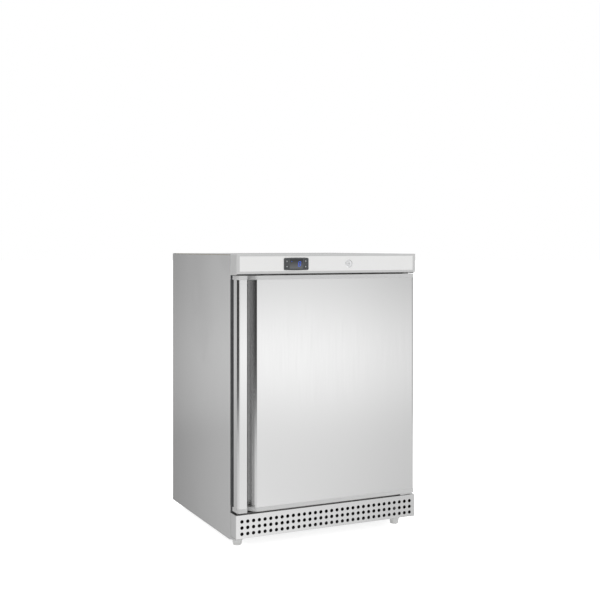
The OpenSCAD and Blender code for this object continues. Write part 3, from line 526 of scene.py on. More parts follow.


# Each finish: base colour and the second one's share of it, how far grain and patches mix them, roughness
# with its spread by grain and patches, bump depth, grain stretch, patch scale and coverage. Some have rim
# wear, flakes, a painted reflection that lightens the colour toward the bottom, metal or less shine. What a
# finish doesn't name is as usual.
USUAL = dict(grain=0.4, patch=0.4, rough_grain=0.08, rough_patch=0.1, bump=0.00003, cover=0.4, metal=0.0,
             specular=0.5)
FINISHES = {
    "stainless": dict(colour="steel", second=0.93, grain=0.1, patch=0.25, rough=0.13, rough_grain=0.03,
                      rough_patch=0.02, bump=0.0000012, stretch=(380, 380, 6), scale=2.2, cover=0.45,
                      metal=1.0),
    "galvanised": dict(colour=(0.5, 0.515, 0.52), second=0.72, grain=0.0, patch=0.3, rough=0.46,
                       rough_grain=0.1, bump=0.00002, stretch=70, scale=4, cover=0.5, spangle=0.55,
                       metal=0.9),
    "zinc": dict(colour=(0.66, 0.665, 0.66), second=0.75, grain=0.25, patch=0.5, rough=0.32,
                 rough_patch=0.12, bump=0.00001, stretch=260, scale=30, rim=0.3, metal=1.0),
    "chrome": dict(colour=(0.74, 0.745, 0.75), second=0.85, grain=0.2, patch=0.3, rough=0.2,
                   rough_grain=0.05, rough_patch=0.06, bump=0.000004, stretch=500, scale=50, metal=1.0),
    "frame_plastic": dict(colour="frame", second=0.95, grain=0.5, patch=0.3, rough=0.42, rough_grain=0.05,
                          rough_patch=0.06, stretch=700, scale=5),
    "label_white": dict(colour="label", second=0.975, grain=0.5, patch=0.5, rough=0.32, rough_grain=0.03,
                        rough_patch=0.05, bump=0.000008, stretch=420, scale=6),
    "white_plastic": dict(colour="lining", second=0.95, patch=0.5, rough=0.3, rough_grain=0.04,
                          rough_patch=0.08, stretch=160, scale=4),
    "foot_plastic": dict(colour=(0.86, 0.86, 0.85), second=0.86, patch=0.5, rough=0.48, rough_grain=0.06,
                         stretch=500, scale=40, rim=0.2),
    "controller_plastic": dict(colour=(0.045, 0.049, 0.052), second=1.5, patch=0.3, rough=0.42,
                               rough_patch=0.06, stretch=1500, scale=60, rim=0.15),
    "key_plastic": dict(colour=(0.05, 0.054, 0.058), second=1.4, rough=0.5, rough_grain=0.06, stretch=1800,
                        scale=90),
    # Painted reflection: the display's colour is lighter toward the bottom.
    "display": dict(colour=(0.012, 0.013, 0.015), painted_reflection_below=(0.125, 0.13, 0.135), second=1.5, grain=0.1,
                    rough=0.1, rough_grain=0.02, rough_patch=0.08, bump=0.000004, stretch=90, scale=40,
                    cover=0.35),
    "foam": dict(colour=(0.7, 0.6, 0.38), second=0.8, grain=0.6, patch=0.5, rough=0.85, rough_grain=0.05,
                 rough_patch=0.05, bump=0.0004, stretch=260, scale=8, cover=0.5),
    "evaporator": dict(colour=(0.62, 0.63, 0.64), second=0.85, grain=0.3, rough=0.4, bump=0.00001,
                       stretch=(20, 400, 400), scale=8, metal=1.0),
    "gasket": dict(colour=(0.1, 0.104, 0.108), second=1.3, patch=0.5, rough=0.55, rough_grain=0.06,
                   rough_patch=0.12, bump=0.00004, stretch=400, scale=14, cover=0.45),
    "black_enamel": dict(colour=(0.016, 0.0165, 0.018), second=3.2, grain=0.3, patch=0.35, rough=0.34,
                         rough_patch=0.25, bump=0.00005, stretch=160, scale=14, cover=0.45, rim=0.35),
    "matt_black": dict(colour=(0.007, 0.007, 0.0075), second=1.8, grain=0.3, patch=0.35, rough=0.75,
                       rough_patch=0.12, bump=0.00005, stretch=160, scale=14, cover=0.45, specular=0.12),
    "black_rubber": dict(colour=(0.02, 0.02, 0.02), second=2.6, grain=0.5, patch=0.5, rough=0.7,
                         rough_grain=0.1, rough_patch=0.12, bump=0.00006, stretch=500, scale=30, cover=0.5,
                         rim=0.2),
    "black_plastic": dict(colour=(0.022, 0.0225, 0.024), second=2.2, rough=0.45, rough_patch=0.15,
                          bump=0.00005, stretch=600, scale=24, rim=0.2),
    "copper": dict(colour=(0.62, 0.33, 0.2), second=0.5, grain=0.35, patch=0.8, rough=0.36, rough_grain=0.1,
                   rough_patch=0.2, bump=0.00002, stretch=120, scale=22, cover=0.55, rim=0.2, metal=1.0),
    "coated_wire": dict(colour=(0.78, 0.78, 0.77), second=0.93, rough=0.3, rough_grain=0.05, stretch=300,
                        scale=20),
    "bright_wire": dict(colour=(0.72, 0.725, 0.73), second=0.8, grain=0.3, rough=0.24, rough_grain=0.06,
                        rough_patch=0.12, bump=0.00001, stretch=400, scale=40, metal=1.0),
}


def new_material(name):
    """An empty material, its Shading and its Object coordinates."""
    material = bpy.data.materials.new(name)
    material.use_nodes = True
    material.node_tree.nodes.clear()
    s = Shading(material.node_tree)
    return material, s, s.add("TexCoord").outputs["Object"]


def finish(slot):
    """The material of a slot: grain and patches vary its colour and roughness, and grain its height."""
    name = slot + "_finish"
    known = bpy.data.materials.get(name)
    if known:
        return known
    given = {**USUAL, **FINISHES[slot]}
    base = given["colour"]
    if isinstance(base, str):
        base = getattr(bpy.context.scene.fridge_colours, base)
    base = np.array(base)
    second = np.clip(base * given["second"], 0, 1)
    material, s, point = new_material(name)
    grain = group_node(s, "grain", vector=point, stretch=(np.ones(3) * given["stretch"]).tolist())
    patch = group_node(s, "patches", vector=point, scale=given["scale"], coverage=given["cover"])
    amount = s.math("ADD", s.math("MULTIPLY", grain, given["grain"]),
                    s.math("MULTIPLY", patch, given["patch"]))
    if "spangle" in given:
        flakes = group_node(s, "spangle", vector=point)
        amount = s.math("ADD", amount, s.math("MULTIPLY", flakes, given["spangle"]), clamp=True)
    shade = s.blend(amount, (*base, 1), (*second, 1))
    rough = s.math("ADD", s.math("MULTIPLY", grain, given["rough_grain"]), given["rough"])
    rough = s.math("ADD", rough, s.math("MULTIPLY", patch, given["rough_patch"]))
    # Painted reflection: the window's colour grows lighter toward its lower edge.
    if "painted_reflection_below" in given:
        low, high = span("display_window")
        height = s.add("SeparateXYZ", {0: point}).outputs[2]
        shade = s.blend(s.ramp(height, low[2], high[2]), (*given["painted_reflection_below"], 1), shade)
    if "rim" in given:
        worn = group_node(s, "rim", amount=given["rim"])
        shade = s.blend(worn, shade, (*np.clip(base * 1.3 + 0.12, 0, 1), 1))
    bump = s.add("Bump", {"Height": grain, "Strength": 1.0, "Distance": given["bump"]})
    shader = s.add("BsdfPrincipled", {"Base Color": shade, "Roughness": rough, "Normal": bump.outputs[0],
                                      "Metallic": given["metal"], "Specular IOR Level": given["specular"]})
    s.add("OutputMaterial", {"Surface": shader.outputs[0]})
    return material


def extra_material(name, colour, roughness, glow=0.0):
    """A printed or lit mark: its colour is broken up by fine grain, and it may glow."""
    material, s, point = new_material(name)
    grain = group_node(s, "grain", vector=point, stretch=(2200, 2200, 2200))
    base = np.array(colour)
    shade = s.blend(grain, (*base, 1), (*base * 0.75, 1))
    rough = s.math("ADD", s.math("MULTIPLY", grain, 0.1), roughness)
    inputs = {"Base Color": shade, "Roughness": rough}
    if glow:
        inputs.update({"Emission Color": shade, "Emission Strength": glow})
    shader = s.add("BsdfPrincipled", inputs)
    s.add("OutputMaterial", {"Surface": shader.outputs[0]})
    return material


# ---- Pieces ----

def door_outline(inset, rear):
    """The door's plan, drawn in by inset: hems, corner arcs, grip, undercut, slope and lip."""
    d = bpy.context.scene.fridge_door
    x0, x1 = DOOR_LOW[0] - LEFT, DOOR_HIGH[0] - LEFT
    front = DOOR_LOW[1] - FRONT
    normal = math.pi / 2 - math.atan2(d.pocket_depth - front, d.pocket_lip - d.pocket_toe)
    sine, cosine, degrees = math.sin(normal), math.cos(normal), math.degrees(normal)
    lip_x = d.pocket_lip + d.lip * (1 - sine) / cosine
    toe_x = d.pocket_lip - (d.toe + (d.pocket_depth - d.toe - front) * sine) / cosine
    line = [
        [[x0 + d.hem, rear - inset], [x0 + inset, rear - inset]],
        arc(x0 + d.corner, front + d.corner, d.corner - inset, 180, 270, 12),
        [[d.grip_edge - inset, front + inset], [d.grip_edge - inset, d.grip_depth - inset],
         [d.pocket_left - inset, d.grip_depth - inset]],
        arc(d.pocket_left + d.pocket_bend, d.pocket_depth - d.pocket_bend, d.pocket_bend + inset, 180, 90),
        arc(toe_x, d.pocket_depth - d.toe, d.toe + inset, 90, degrees),
        arc(lip_x, front + d.lip, d.lip - inset, 180 + degrees, 270),
        arc(x1 - d.corner, front + d.corner, d.corner - inset, 270, 360, 12),
        [[x1 - inset, rear - inset], [x1 - d.hem, rear - inset]],
    ]
    return np.concatenate([np.asarray(part, float) for part in line]) + [LEFT, FRONT]


class FRIDGE_OT_door_skin(bpy.types.Operator):
    """Bend the door's steel skin with its grip strip and finger pocket"""
    bl_idname = "fridge.door_skin"
    bl_label = "Door skin"

    def execute(self, context):
        d = context.scene.fridge_door
        rear = DOOR_HIGH[1] - FRONT
        outer = door_outline(0, rear)
        inner = door_outline(d.sheet, rear)[::-1]
        sheet = plate(np.concatenate([outer, inner]), DOOR_LOW[2], DOOR_HIGH[2])
        build("door_skin_sheet", [sheet], "door", "stainless", ["door_skin"], sharp=32)

        def behind_hem(bm):
            """The foam's rear face stands a sheet and a half farther forward."""
            for vertex in bm.verts:
                if abs(vertex.co.y - DOOR_HIGH[1]) < 0.0002:
                    vertex.co.y -= 1.5 * d.sheet
        softened("door_insulation", "foam", 0, reshape=behind_hem)
        return {"FINISHED"}


class FRIDGE_OT_door_trim(bpy.types.Operator):
    """Round the door's end caps, mould its inner panel and lay the magnetic gasket"""
    bl_idname = "fridge.door_trim"
    bl_label = "Door caps, liner and gasket"

    def execute(self, context):
        edge = context.scene.fridge_details.moulded_edge
        for node in ("door_top_cap", "door_bottom_cap"):
            softened(node, "frame_plastic", edge * 0.8, segments=3)
        softened("hinge_bushes", "white_plastic", 0.0005)
        self.liner()
        self.gasket()
        return {"FINISHED"}

    def liner(self):
        """Rounded rectangles drawn in step by step while their depth follows the panel's section."""
        low, high = span("door_liner")
        width, height = high[0] - low[0], high[2] - low[2]
        rim, top = 0.004, high[1] - low[1]
        # inset from the outer edge, depth from the front of the panel, corner radius
        section = [(0.0, 0.0, 0.004), (0.0, rim - 0.001, 0.004), (0.001, rim, 0.004), (0.044, rim, 0.022),
                   (0.047, rim + 0.0008, 0.024), (0.0495, rim + 0.004, 0.026), (0.0515, top - 0.006, 0.028),
                   (0.0535, top - 0.0022, 0.029), (0.058, top, 0.030), (0.078, top, 0.034),
                   (0.080, top - 0.0015, 0.035), (0.083, top - 0.002, 0.036), (0.088, top - 0.002, 0.038)]
        outlines = [rounded_rectangle(width - 2 * inset, height - 2 * inset, radius, 8)
                    for inset, _, radius in section]
        rings = flat_rings(outlines, [depth for _, depth, _ in section])
        centre = (0, low[1], (low[2] + high[2]) / 2)
        build("door_inner_panel", [loft(place(rings, centre, "y"))], "door", "white_plastic", ["door_liner"],
              sharp=50)

    def gasket(self):
        """A bellows section carried round a rectangle; each corner's ring is moved in by its offset."""
        low, high = span("door_gasket")
        depth = high[1] - low[1]
        half_w, half_h = (high[0] - low[0]) / 2, (high[2] - low[2]) / 2
        # offset inward from the outer edge and depth, as fractions of the gasket's width and thickness
        section = np.array([(0.10, 0.0), (0.03, 0.12), (0.0, 0.30), (0.10, 0.46), (0.04, 0.62), (0.0, 0.80),
                            (0.06, 0.95), (0.16, 1.0), (0.84, 1.0), (0.94, 0.95), (1.0, 0.80), (0.93, 0.62),
                            (0.84, 0.46), (1.0, 0.30), (0.97, 0.12), (0.90, 0.0)])
        inset = section[:, 0] * 0.018
        rings = []
        for sx, sz in ((1, 1), (-1, 1), (-1, -1), (1, -1)):
            rings.append(np.column_stack([sx * (half_w - inset), low[1] + section[:, 1] * depth,
                                          (low[2] + high[2]) / 2 + sz * (half_h - inset)]))
        build("door_gasket_bellows", [loft(rings, closed=True)], "door", "gasket", ["door_gasket"], sharp=40)


class FRIDGE_OT_cabinet(bpy.types.Operator):
    """Round the folded edges of the cabinet's sheets, rails and brackets, and lay dark strips of painted
    shade beside the door
    """
    bl_idname = "fridge.cabinet"
    bl_label = "Cabinet sheets"

    def execute(self, context):
        edge = context.scene.fridge_details.sheet_edge
        toe_rear, toe_z = FRONT + 0.055, span("plinth_grille")[0][2] - 0.0005

        def cut_toe(bm):
            """The lower edge rises to the grille's own lower edge in front of the toe's rear end."""
            bmesh.ops.bisect_plane(bm, geom=bm.verts[:] + bm.edges[:] + bm.faces[:], dist=1e-6,
                                   plane_co=(0, toe_rear, 0), plane_no=(0, 1, 0))
            for vertex in bm.verts:
                if vertex.co.y < toe_rear - 0.0005 and vertex.co.z < toe_z:
                    vertex.co.z = toe_z - 0.0002 + 0.0002 * vertex.co.z / toe_z
        for node in ("left_side_panel", "right_side_panel"):
            softened(node, "stainless", edge, reshape=cut_toe)
        soften_all([("top_panel", "stainless", edge),
                    ("back_panel floor_panel top_rail roller_brackets", "galvanised", edge),
                    ("base_pan bottom_rail", "matt_black", edge),
                    ("top_hinge bottom_hinge hinge_screws panel_screws", "zinc", edge)])
        self.seal_strips()
        return {"FINISHED"}

    def seal_strips(self):
        """Thin dark strips on the cabinet's face beside the door's sides: painted shade, where the gap behind
        the door lies in shadow.
        """
        details = bpy.context.scene.fridge_details
        face = span("bottom_rail")[0][1]
        rear = face - details.seal_thickness
        parts = []
        # Each strip is painted shade: a dark film where the gap beside the door lies in shadow.
        for side in (-1, 1):
            x = sorted((side * (-LEFT - 0.0014), side * (-LEFT - details.seal_width)))
            parts.append(block((x[0], rear, span("plinth_grille")[1][2] - 0.012),
                               (x[1], face, span("control_frame")[0][2] - 0.0006), 0.0001))
        build("seal_strips", parts, "cabinet", "gasket")


class FRIDGE_OT_grille(bpy.types.Operator):
    """Punch the round holes of the plinth grille and fold its sides"""
    bl_idname = "fridge.grille"
    bl_label = "Plinth grille"

    def execute(self, context):
        d = context.scene.fridge_grille
        low, high = span("plinth_grille")
        parts = self.perforated(d, low, high)
        behind = low[1] + d.fold * 0.2
        for x in (low[0], high[0] - 2 * d.sheet):
            parts.append(block((x, behind, low[2]), (x + 2 * d.sheet, high[1], high[2]), d.fold))
        for z, reach in ((low[2], d.lower_flange), (high[2] - 2 * d.sheet, d.upper_flange)):
            parts.append(block((low[0] + d.sheet, behind, z),
                               (high[0] - d.sheet, low[1] + reach, z + 2 * d.sheet), d.fold))
        build("plinth_grille_sheet", parts, "cabinet", "stainless", ["plinth_grille"])
        return {"FINISHED"}

    def perforated(self, d, low, high):
        """Cells whose rectangle is joined to a circle at the same angles, in a plain border."""
        side = np.linspace(-0.5, 0.5, 7)
        cell = box_loop(side, side) * [d.pitch_x, d.pitch_z]
        circle = cell / np.linalg.norm(cell, axis=1, keepdims=True)
        i, j = np.meshgrid(np.arange(d.columns) - (d.columns - 1) / 2, np.arange(d.rows), indexing="ij")
        centres = np.column_stack([i.ravel() * d.pitch_x, low[2] + d.first_row + j.ravel() * d.pitch_z])
        rings = [(cell, 0.0), (circle * (d.radius + d.chamfer), 0.0), (circle * d.radius, d.chamfer),
                 (circle * d.radius, d.sheet), (cell, d.sheet)]
        outlines = np.array([ring for ring, _ in rings]) + centres[:, None, None]
        depths = np.array([depth for _, depth in rings])[:, None] + np.zeros(outlines.shape[:3])
        cells = np.stack([outlines[..., 0], low[1] + depths, outlines[..., 1]], -1)
        x = np.arange(-d.columns * 3, d.columns * 3 + 1) * d.pitch_x / 6
        z = low[2] + d.first_row + (np.arange(d.rows * 6 + 1) / 6 - 0.5) * d.pitch_z
        loop = box_loop(x, z)
        inset = d.fold * 0.9
        stretch = (high[2] - low[2] - 2 * inset) / (z[-1] - z[0])
        outer = np.column_stack([loop[:, 0] * (high[0] - inset) / x[-1],
                                 low[2] + inset + (loop[:, 1] - z[0]) * stretch])
        border = np.stack([np.insert(flat, 1, low[1] + depth, axis=1)
                           for flat, depth in ((loop, 0.0), (outer, 0.0), (outer, d.sheet), (loop, d.sheet))])
        faces = []
        for start, count, rows, cols in ((0, len(centres), 5, len(cell)), (cells.size // 3, 1, 4, len(loop))):
            n, r, c = np.meshgrid(np.arange(count), np.arange(rows - 1), np.arange(cols), indexing="ij")
            first, right = start + (n * rows + r) * cols, (c + 1) % cols
            quads = np.stack([first + c, first + right, first + cols + right, first + cols + c], -1)
            faces += quads.reshape(-1, 4).tolist()
        return [(np.concatenate([cells.reshape(-1, 3), border.reshape(-1, 3)]), faces)]


class FRIDGE_OT_control_frame(bpy.types.Operator):
    """Round the moulded control frame and set the label in it"""
    bl_idname = "fridge.control_frame"
    bl_label = "Control frame"

    def execute(self, context):
        edge = context.scene.fridge_details.moulded_edge
        softened("control_frame", "frame_plastic", edge, segments=3)
        softened("fascia_label", "label_white", 0.0002)
        return {"FINISHED"}


class FRIDGE_OT_controller(bpy.types.Operator):
    """Shape the temperature controller: barrel-shaped bezel, window, digit and keys"""
    bl_idname = "fridge.controller"
    bl_label = "Temperature controller"

    def execute(self, context):
        details = context.scene.fridge_details
        low, high = span("controller_housing")
        window_low, window_high = span("display_window")
        centre = (low + high) / 2
        self.x, self.z, self.face = centre[0], centre[2], low[1]
        self.half_w, self.half_h = (high[0] - low[0]) / 2, (high[2] - low[2]) / 2
        self.window = (window_high - window_low)[[0, 2]] / 2
        self.keys = {name: span(name) for name in ("key_upper_left", "key_lower_left", "key_upper_right",
                                                   "key_lower_right")}
        self.bezel(details)
        self.display(details, window_low)
        for name, corners in self.keys.items():
            self.key(name, *corners)
        return {"FINISHED"}

    def half_height(self, x, details):
        """The bezel's half height: it falls with the distance squared, and by a circle at the corners."""
        share = np.abs(x) / self.half_w
        radius = details.bezel_corner
        inside = np.clip(np.abs(x) - (self.half_w - radius), 0, radius)
        fall = radius - np.sqrt(np.maximum(radius ** 2 - inside ** 2, 0))
        return self.half_h * (1 - details.bezel_belly * share ** 2) - fall

    def bezel(self, details):
        """A sheet on a grid whose columns and rows break at the openings, thickened backward."""
        gap = 0.0002
        openings = [(-self.window[0], self.window[0], -self.window[1], self.window[1])]
        for key_low, key_high in self.keys.values():
            openings.append((key_low[0] - self.x - gap, key_high[0] - self.x + gap,
                             key_low[2] - self.z - gap, key_high[2] - self.z + gap))
        breaks = sorted({round(v, 6) for o in openings for v in o[:2]})
        ends = self.half_w - details.bezel_corner * (1 - np.cos(np.linspace(0, np.pi / 2, 7)))
        inner = np.linspace(-self.window[0], self.window[0], 9)
        columns = np.unique(np.round(np.concatenate([breaks, ends, -ends, inner]), 6))
        rows = sorted({round(v, 6) for o in openings for v in o[2:]})
        rows = np.array([-1.0, *rows, 1.0])
        x, z = np.meshgrid(columns, rows, indexing="ij")
        edge = self.half_height(columns, details)
        z[:, 0], z[:, -1] = -edge, edge
        # Rows between the edges keep inside the corner's curve
        z[:, 1:-1] = np.clip(z[:, 1:-1], -edge[:, None] * 0.96, edge[:, None] * 0.96)
        count = len(rows)
        i, j = np.meshgrid(np.arange(len(columns) - 1), np.arange(count - 1), indexing="ij")
        quads = np.stack([i * count + j, (i + 1) * count + j, (i + 1) * count + j + 1, i * count + j + 1], -1)
        middle_x = (columns[:-1] + columns[1:])[:, None] / 2 + 0 * j
        middle_z = (z[:-1, :-1] + z[1:, 1:]) / 2
        kept = np.ones(i.shape, bool)
        for x0, x1, z0, z1 in openings:
            kept &= ~((middle_x > x0) & (middle_x < x1) & (middle_z > z0) & (middle_z < z1))
        points = np.stack([x + self.x, np.full_like(x, self.face), z + self.z], -1).reshape(-1, 3)
        mesh = bpy.data.meshes.new("controller_bezel")
        mesh.from_pydata(points.tolist(), [], quads[kept].tolist())
        mesh.shade_flat()
        piece = add_object("controller_bezel", mesh, "cabinet", "controller_plastic", ["controller_housing"])
        thick = piece.modifiers.new("Thickness", "SOLIDIFY")
        thick.thickness = 0.0013
        thick.offset = -1
        rounded = piece.modifiers.new("Rounded edges", "BEVEL")
        rounded.width = 0.00035
        rounded.segments = 2
        rounded.angle_limit = math.radians(50)
        # The body behind the label, and the rim of its rear lid: half width, front, rear, half height, edge
        body = [block((self.x - half_w, FRONT + front, self.z - half_h),
                      (self.x + half_w, FRONT + rear, self.z + half_h), edge)
                for half_w, front, rear, half_h, edge in ((0.0355, 0.005, 0.041, 0.0145, 0.0015),
                                                          (0.030, 0.040, 0.0409, 0.010, 0.0003))]
        build("controller_body", body, "cabinet", "controller_plastic")

    def display(self, details, window_low):
        """A glossy window with a slanted digit of seven bars and a status dot on it."""
        glass_y = window_low[1]
        centre = (self.x, glass_y, self.z)
        width, height = self.window * 2
        pane = slab(lambda i: rounded_rectangle(width - 2 * i, height - 2 * i, 0.0012 - i * 0.9, 4),
                    -0.0007, 0.0, 0.00025, centre, "-y")
        build("display_pane", [pane], "cabinet", "display", ["display_window"])
        self.digit_marks(details, glass_y)

    def digit_marks(self, details, glass_y):
        """Bars of the digit: narrow hexagons whose points lean sideways in proportion to their height."""
        h = details.digit_height
        w = h * 0.52
        bar = h * 0.085
        reach = h * 0.035
        flat = np.array([[-1, 0], [-0.8, 1], [0.8, 1], [1, 0], [0.8, -1], [-0.8, -1]])
        lying = [(0, h / 2), (0, 0), (0, -h / 2)]
        standing = [(-w / 2, h / 4), (w / 2, h / 4), (-w / 2, -h / 4), (w / 2, -h / 4)]
        shapes = [flat * [w / 2 - reach, bar / 2] + c for c in lying]
        shapes += [flat[:, ::-1] * [bar / 2, h / 4 - reach] + c for c in standing]
        centre = np.array([0.0105, 0.0])
        on_glass, film = (self.x, glass_y, self.z), 0.00008
        parts = []
        for shape in shapes:
            shape = np.column_stack([shape[:, 0] + shape[:, 1] * details.digit_slant, shape[:, 1]]) + centre
            parts.append(plate(shape, 0.0, film, on_glass, "-y"))
        parts.append(plate(arc(-0.0145, 0.0075, 0.0009, 0, 345, 23), 0.0, film, on_glass, "-y"))
        piece = build("display_digit", parts, "cabinet", "display")
        light = bpy.context.scene.fridge_colours.digit
        piece.data.materials[0] = extra_material("lit_digit", light, 0.3, 1.0)

    def key(self, name, low, high):
        """A soft key with a crowned face and a raised mark."""
        size = (high - low)[[0, 2]]
        centre = ((low[0] + high[0]) / 2, low[1], (low[2] + high[2]) / 2)
        depth = high[1] - low[1]

        def outline(inset):
            """The key's outline drawn in, with a corner that never vanishes."""
            corner = max(0.0014 - inset, 0.0002)
            return rounded_rectangle(size[0] - 2 * inset, size[1] - 2 * inset, corner, 4)
        cap = slab(outline, -depth, -0.00006, 0.0004, centre, "-y")
        build(name + "_cap", [cap], name, "key_plastic", [name])
        marks = {"key_upper_left": self.star, "key_lower_left": self.arrow_down, "key_upper_right": self.ring,
                 "key_lower_right": self.arrow_up}[name]()
        parts = [plate(mark, -0.0002, 0.0, centre, "-y") for mark in marks]
        piece = build(name + "_mark", parts, name, "key_plastic")
        piece.data.materials[0] = bpy.data.materials.get("printed_mark") or extra_material(
            "printed_mark", (0.62, 0.64, 0.65), 0.5)

    def star(self):
        """Three thin bars crossed at sixty degrees."""
        bar = np.array([[-2.6, -0.35], [2.6, -0.35], [2.6, 0.35], [-2.6, 0.35]]) * MM
        turns = np.radians([0, 60, 120])
        return [bar @ np.array([[math.cos(a), math.sin(a)], [-math.sin(a), math.cos(a)]]) for a in turns]

    def arrow_down(self):
        """A triangle on its point."""
        return [np.array([[-2.3, 1.5], [0, -2.1], [2.3, 1.5]]) * MM]

    def arrow_up(self):
        """A triangle on its base."""
        return [np.array([[-2.3, -1.5], [2.3, -1.5], [0, 2.1]]) * MM]

    def ring(self):
        """An open ring with a bar at its gap."""
        outer = arc(0, 0, 2.3 * MM, 120, 420, 16)
        inner = arc(0, 0, 1.6 * MM, 420, 120, 16)
        bar = np.array([[-0.35, 0.4], [0.35, 0.4], [0.35, 2.9], [-0.35, 2.9]]) * MM
        return [np.concatenate([outer, inner]), bar]


class FRIDGE_OT_lock(bpy.types.Operator):
    """Turn the lock's collar and plug and fit its cam"""
    bl_idname = "fridge.lock"
    bl_label = "Lock"

    def execute(self, context):
        low, high = span("lock_housing")
        centre = ((low[0] + high[0]) / 2, low[1], (low[2] + high[2]) / 2)
        rim, bore, barrel = 0.012, 0.00708, 0.0094
        depth = high[1] - low[1]
        collar = [(bore, 0.0006), (bore + 0.0006, 0.0001), (0.0088, 0.0), (0.0112, 0.0002), (rim, 0.0009),
                  (rim, 0.0013), (barrel, 0.0013), (barrel, depth), (bore, depth)]
        parts = [revolve(collar, centre, "y", 56, closed=True)]
        nut, inner = (arc(0, 0, radius, 15, 315, 5) for radius in (0.013, 0.0095))
        nut_rings = flat_rings([nut, nut, inner, inner], [0.0037, 0.0077, 0.0077, 0.0037])
        parts.append(loft(place(nut_rings, centre, "y"), closed=True))
        build("lock_collar", parts, "cabinet", "chrome", ["lock_housing"])
        softened("lock_barrel", "chrome", 0.00035, segments=2)
        slot = np.array([[-0.0009, -0.003], [0.0009, -0.003], [0.0009, 0.003], [-0.0009, 0.003]])
        face = (centre[0], span("lock_barrel")[0][1], centre[2])
        build("keyway_shadow", [plate(slot, -0.0001, 0.0022, face, "y")], "lock", "black_plastic")
        softened("lock_cam", "zinc", 0.0005)
        return {"FINISHED"}


class FRIDGE_OT_interior(bpy.types.Operator):
    """Finish the lining, the air duct, the fan and the three wire shelves"""
    bl_idname = "fridge.interior"
    bl_label = "Inside"

    def execute(self, context):
        soften_all([("inner_liner", "white_plastic", 0.003, 3), ("air_duct_cover", "white_plastic", 0.0008),
                    ("temperature_probe", "white_plastic", 0.001), ("fan_frame", "black_plastic", 0.0006)])
        for node, slot in (("cabinet_insulation", "foam"), ("evaporator_plate", "evaporator")):
            frame["nodes"][node].data.materials.clear()
            frame["nodes"][node].data.materials.append(finish(slot))
        self.fan()
        self.guard()
        for name in ("shelf_lower", "shelf_middle", "shelf_upper"):
            self.shelf(name)
        return {"FINISHED"}

    def fan(self):
        """Five blades: each a thin lens whose chord turns flatter toward the tip, round a domed hub."""
        low, high = span("fan_blades")
        y0 = low[1] + 0.001
        centre = (0, y0, (low[2] + high[2]) / 2)
        hub = [(0, 0.0), (0.012, 0.0006), (0.0165, 0.003), (0.018, 0.007), (0.018, 0.0155), (0.0165, 0.017),
               (0.0, 0.017)]
        parts = [revolve(hub, centre, "y", 40)]
        stations = 10
        radii = np.linspace(0.0165, 0.0525, stations)
        chord_angle = np.radians(np.linspace(48, 26, stations))
        chord = np.linspace(0.024, 0.034, stations)
        thickness = np.linspace(1.1, 0.8, stations)
        turn = np.linspace(0, 2 * np.pi, 17)[:-1]
        lens = np.stack([np.cos(turn) * 0.5, np.sin(turn) * 0.03], -1)
        camber = 0.08 * (1 - (2 * lens[:, 0]) ** 2)
        along = lens[None, :, 0] * chord[:, None]
        across = (lens[None, :, 1] + camber[None]) * (chord * thickness)[:, None]
        sine, cosine = np.sin(chord_angle)[:, None], np.cos(chord_angle)[:, None]
        tangential = along * cosine - across * sine
        axial = along * sine * 0.55 + across * cosine + 0.0085
        for blade in range(5):
            angle = blade * 2 * np.pi / 5 + tangential / radii[:, None]
            rings = np.stack([radii[:, None] * np.cos(angle), radii[:, None] * np.sin(angle), axial], -1)
            parts.append(loft(place(rings, centre, "y")))
        build("fan_rotor", parts, "fan", "black_plastic", ["fan_blades"])

    def guard(self):
        """Concentric wire rings on two straight crossed wires."""
        low, high = span("fan_guard")
        z = (low[2] + high[2]) / 2
        y = low[1] + 0.001
        parts = []
        angle = np.arange(72) * 2 * np.pi / 72
        for radius in (0.012, 0.0195, 0.027, 0.0345, 0.042, 0.0495, 0.0575):
            ring = np.stack([radius * np.cos(angle), np.full(72, y), z + radius * np.sin(angle)], -1)
            parts.append(tube(ring, 0.0009, 8, closed=True, up=(0, 1, 0)))
        for a in np.radians((45, 135)):
            way = np.array([math.cos(a), 0, math.sin(a)])
            reach = 0.0585
            middle = np.array([0, y + 0.0018, z])
            parts.append(rod(middle - way * reach, middle + way * reach, 0.0011, 8))
        build("fan_wire_guard", parts, "cabinet", "bright_wire", ["fan_guard"])

    def shelf(self, name):
        """A rounded frame of thick wire with a cross wire, carrying thinner wires from front to rear."""
        low, high = span(name)
        thick, thin = 0.003, 0.0016
        x, z = high[0] - thick, low[2] + thick
        front, rear = low[1] + thick, high[1] - thick
        corners = [(x, front, z), (x, rear, z), (-x, rear, z), (-x, front, z)]
        outline = bent(corners, 0.012, 6, closed=True)
        parts = [tube(outline, thick, 12, closed=True, up=(0, 0, 1))]
        middle = (front + rear) / 2
        parts.append(rod((-x, middle, z), (x, middle, z), thick, 12))
        count, pitch = 19, 0.0246
        for i in range(count):
            at = (i - (count - 1) / 2) * pitch
            path = bent([(at, front - 0.0016, z + 0.0016), (at, front - 0.0012, z + 0.0034),
                         (at, rear + 0.0012, z + 0.0034), (at, rear + 0.0016, z + 0.0016)], 0.0008, 3)
            parts.append(tube(path, thin, 8, up=(1, 0, 0)))
        build(name + "_wires", parts, name, "coated_wire", [name])


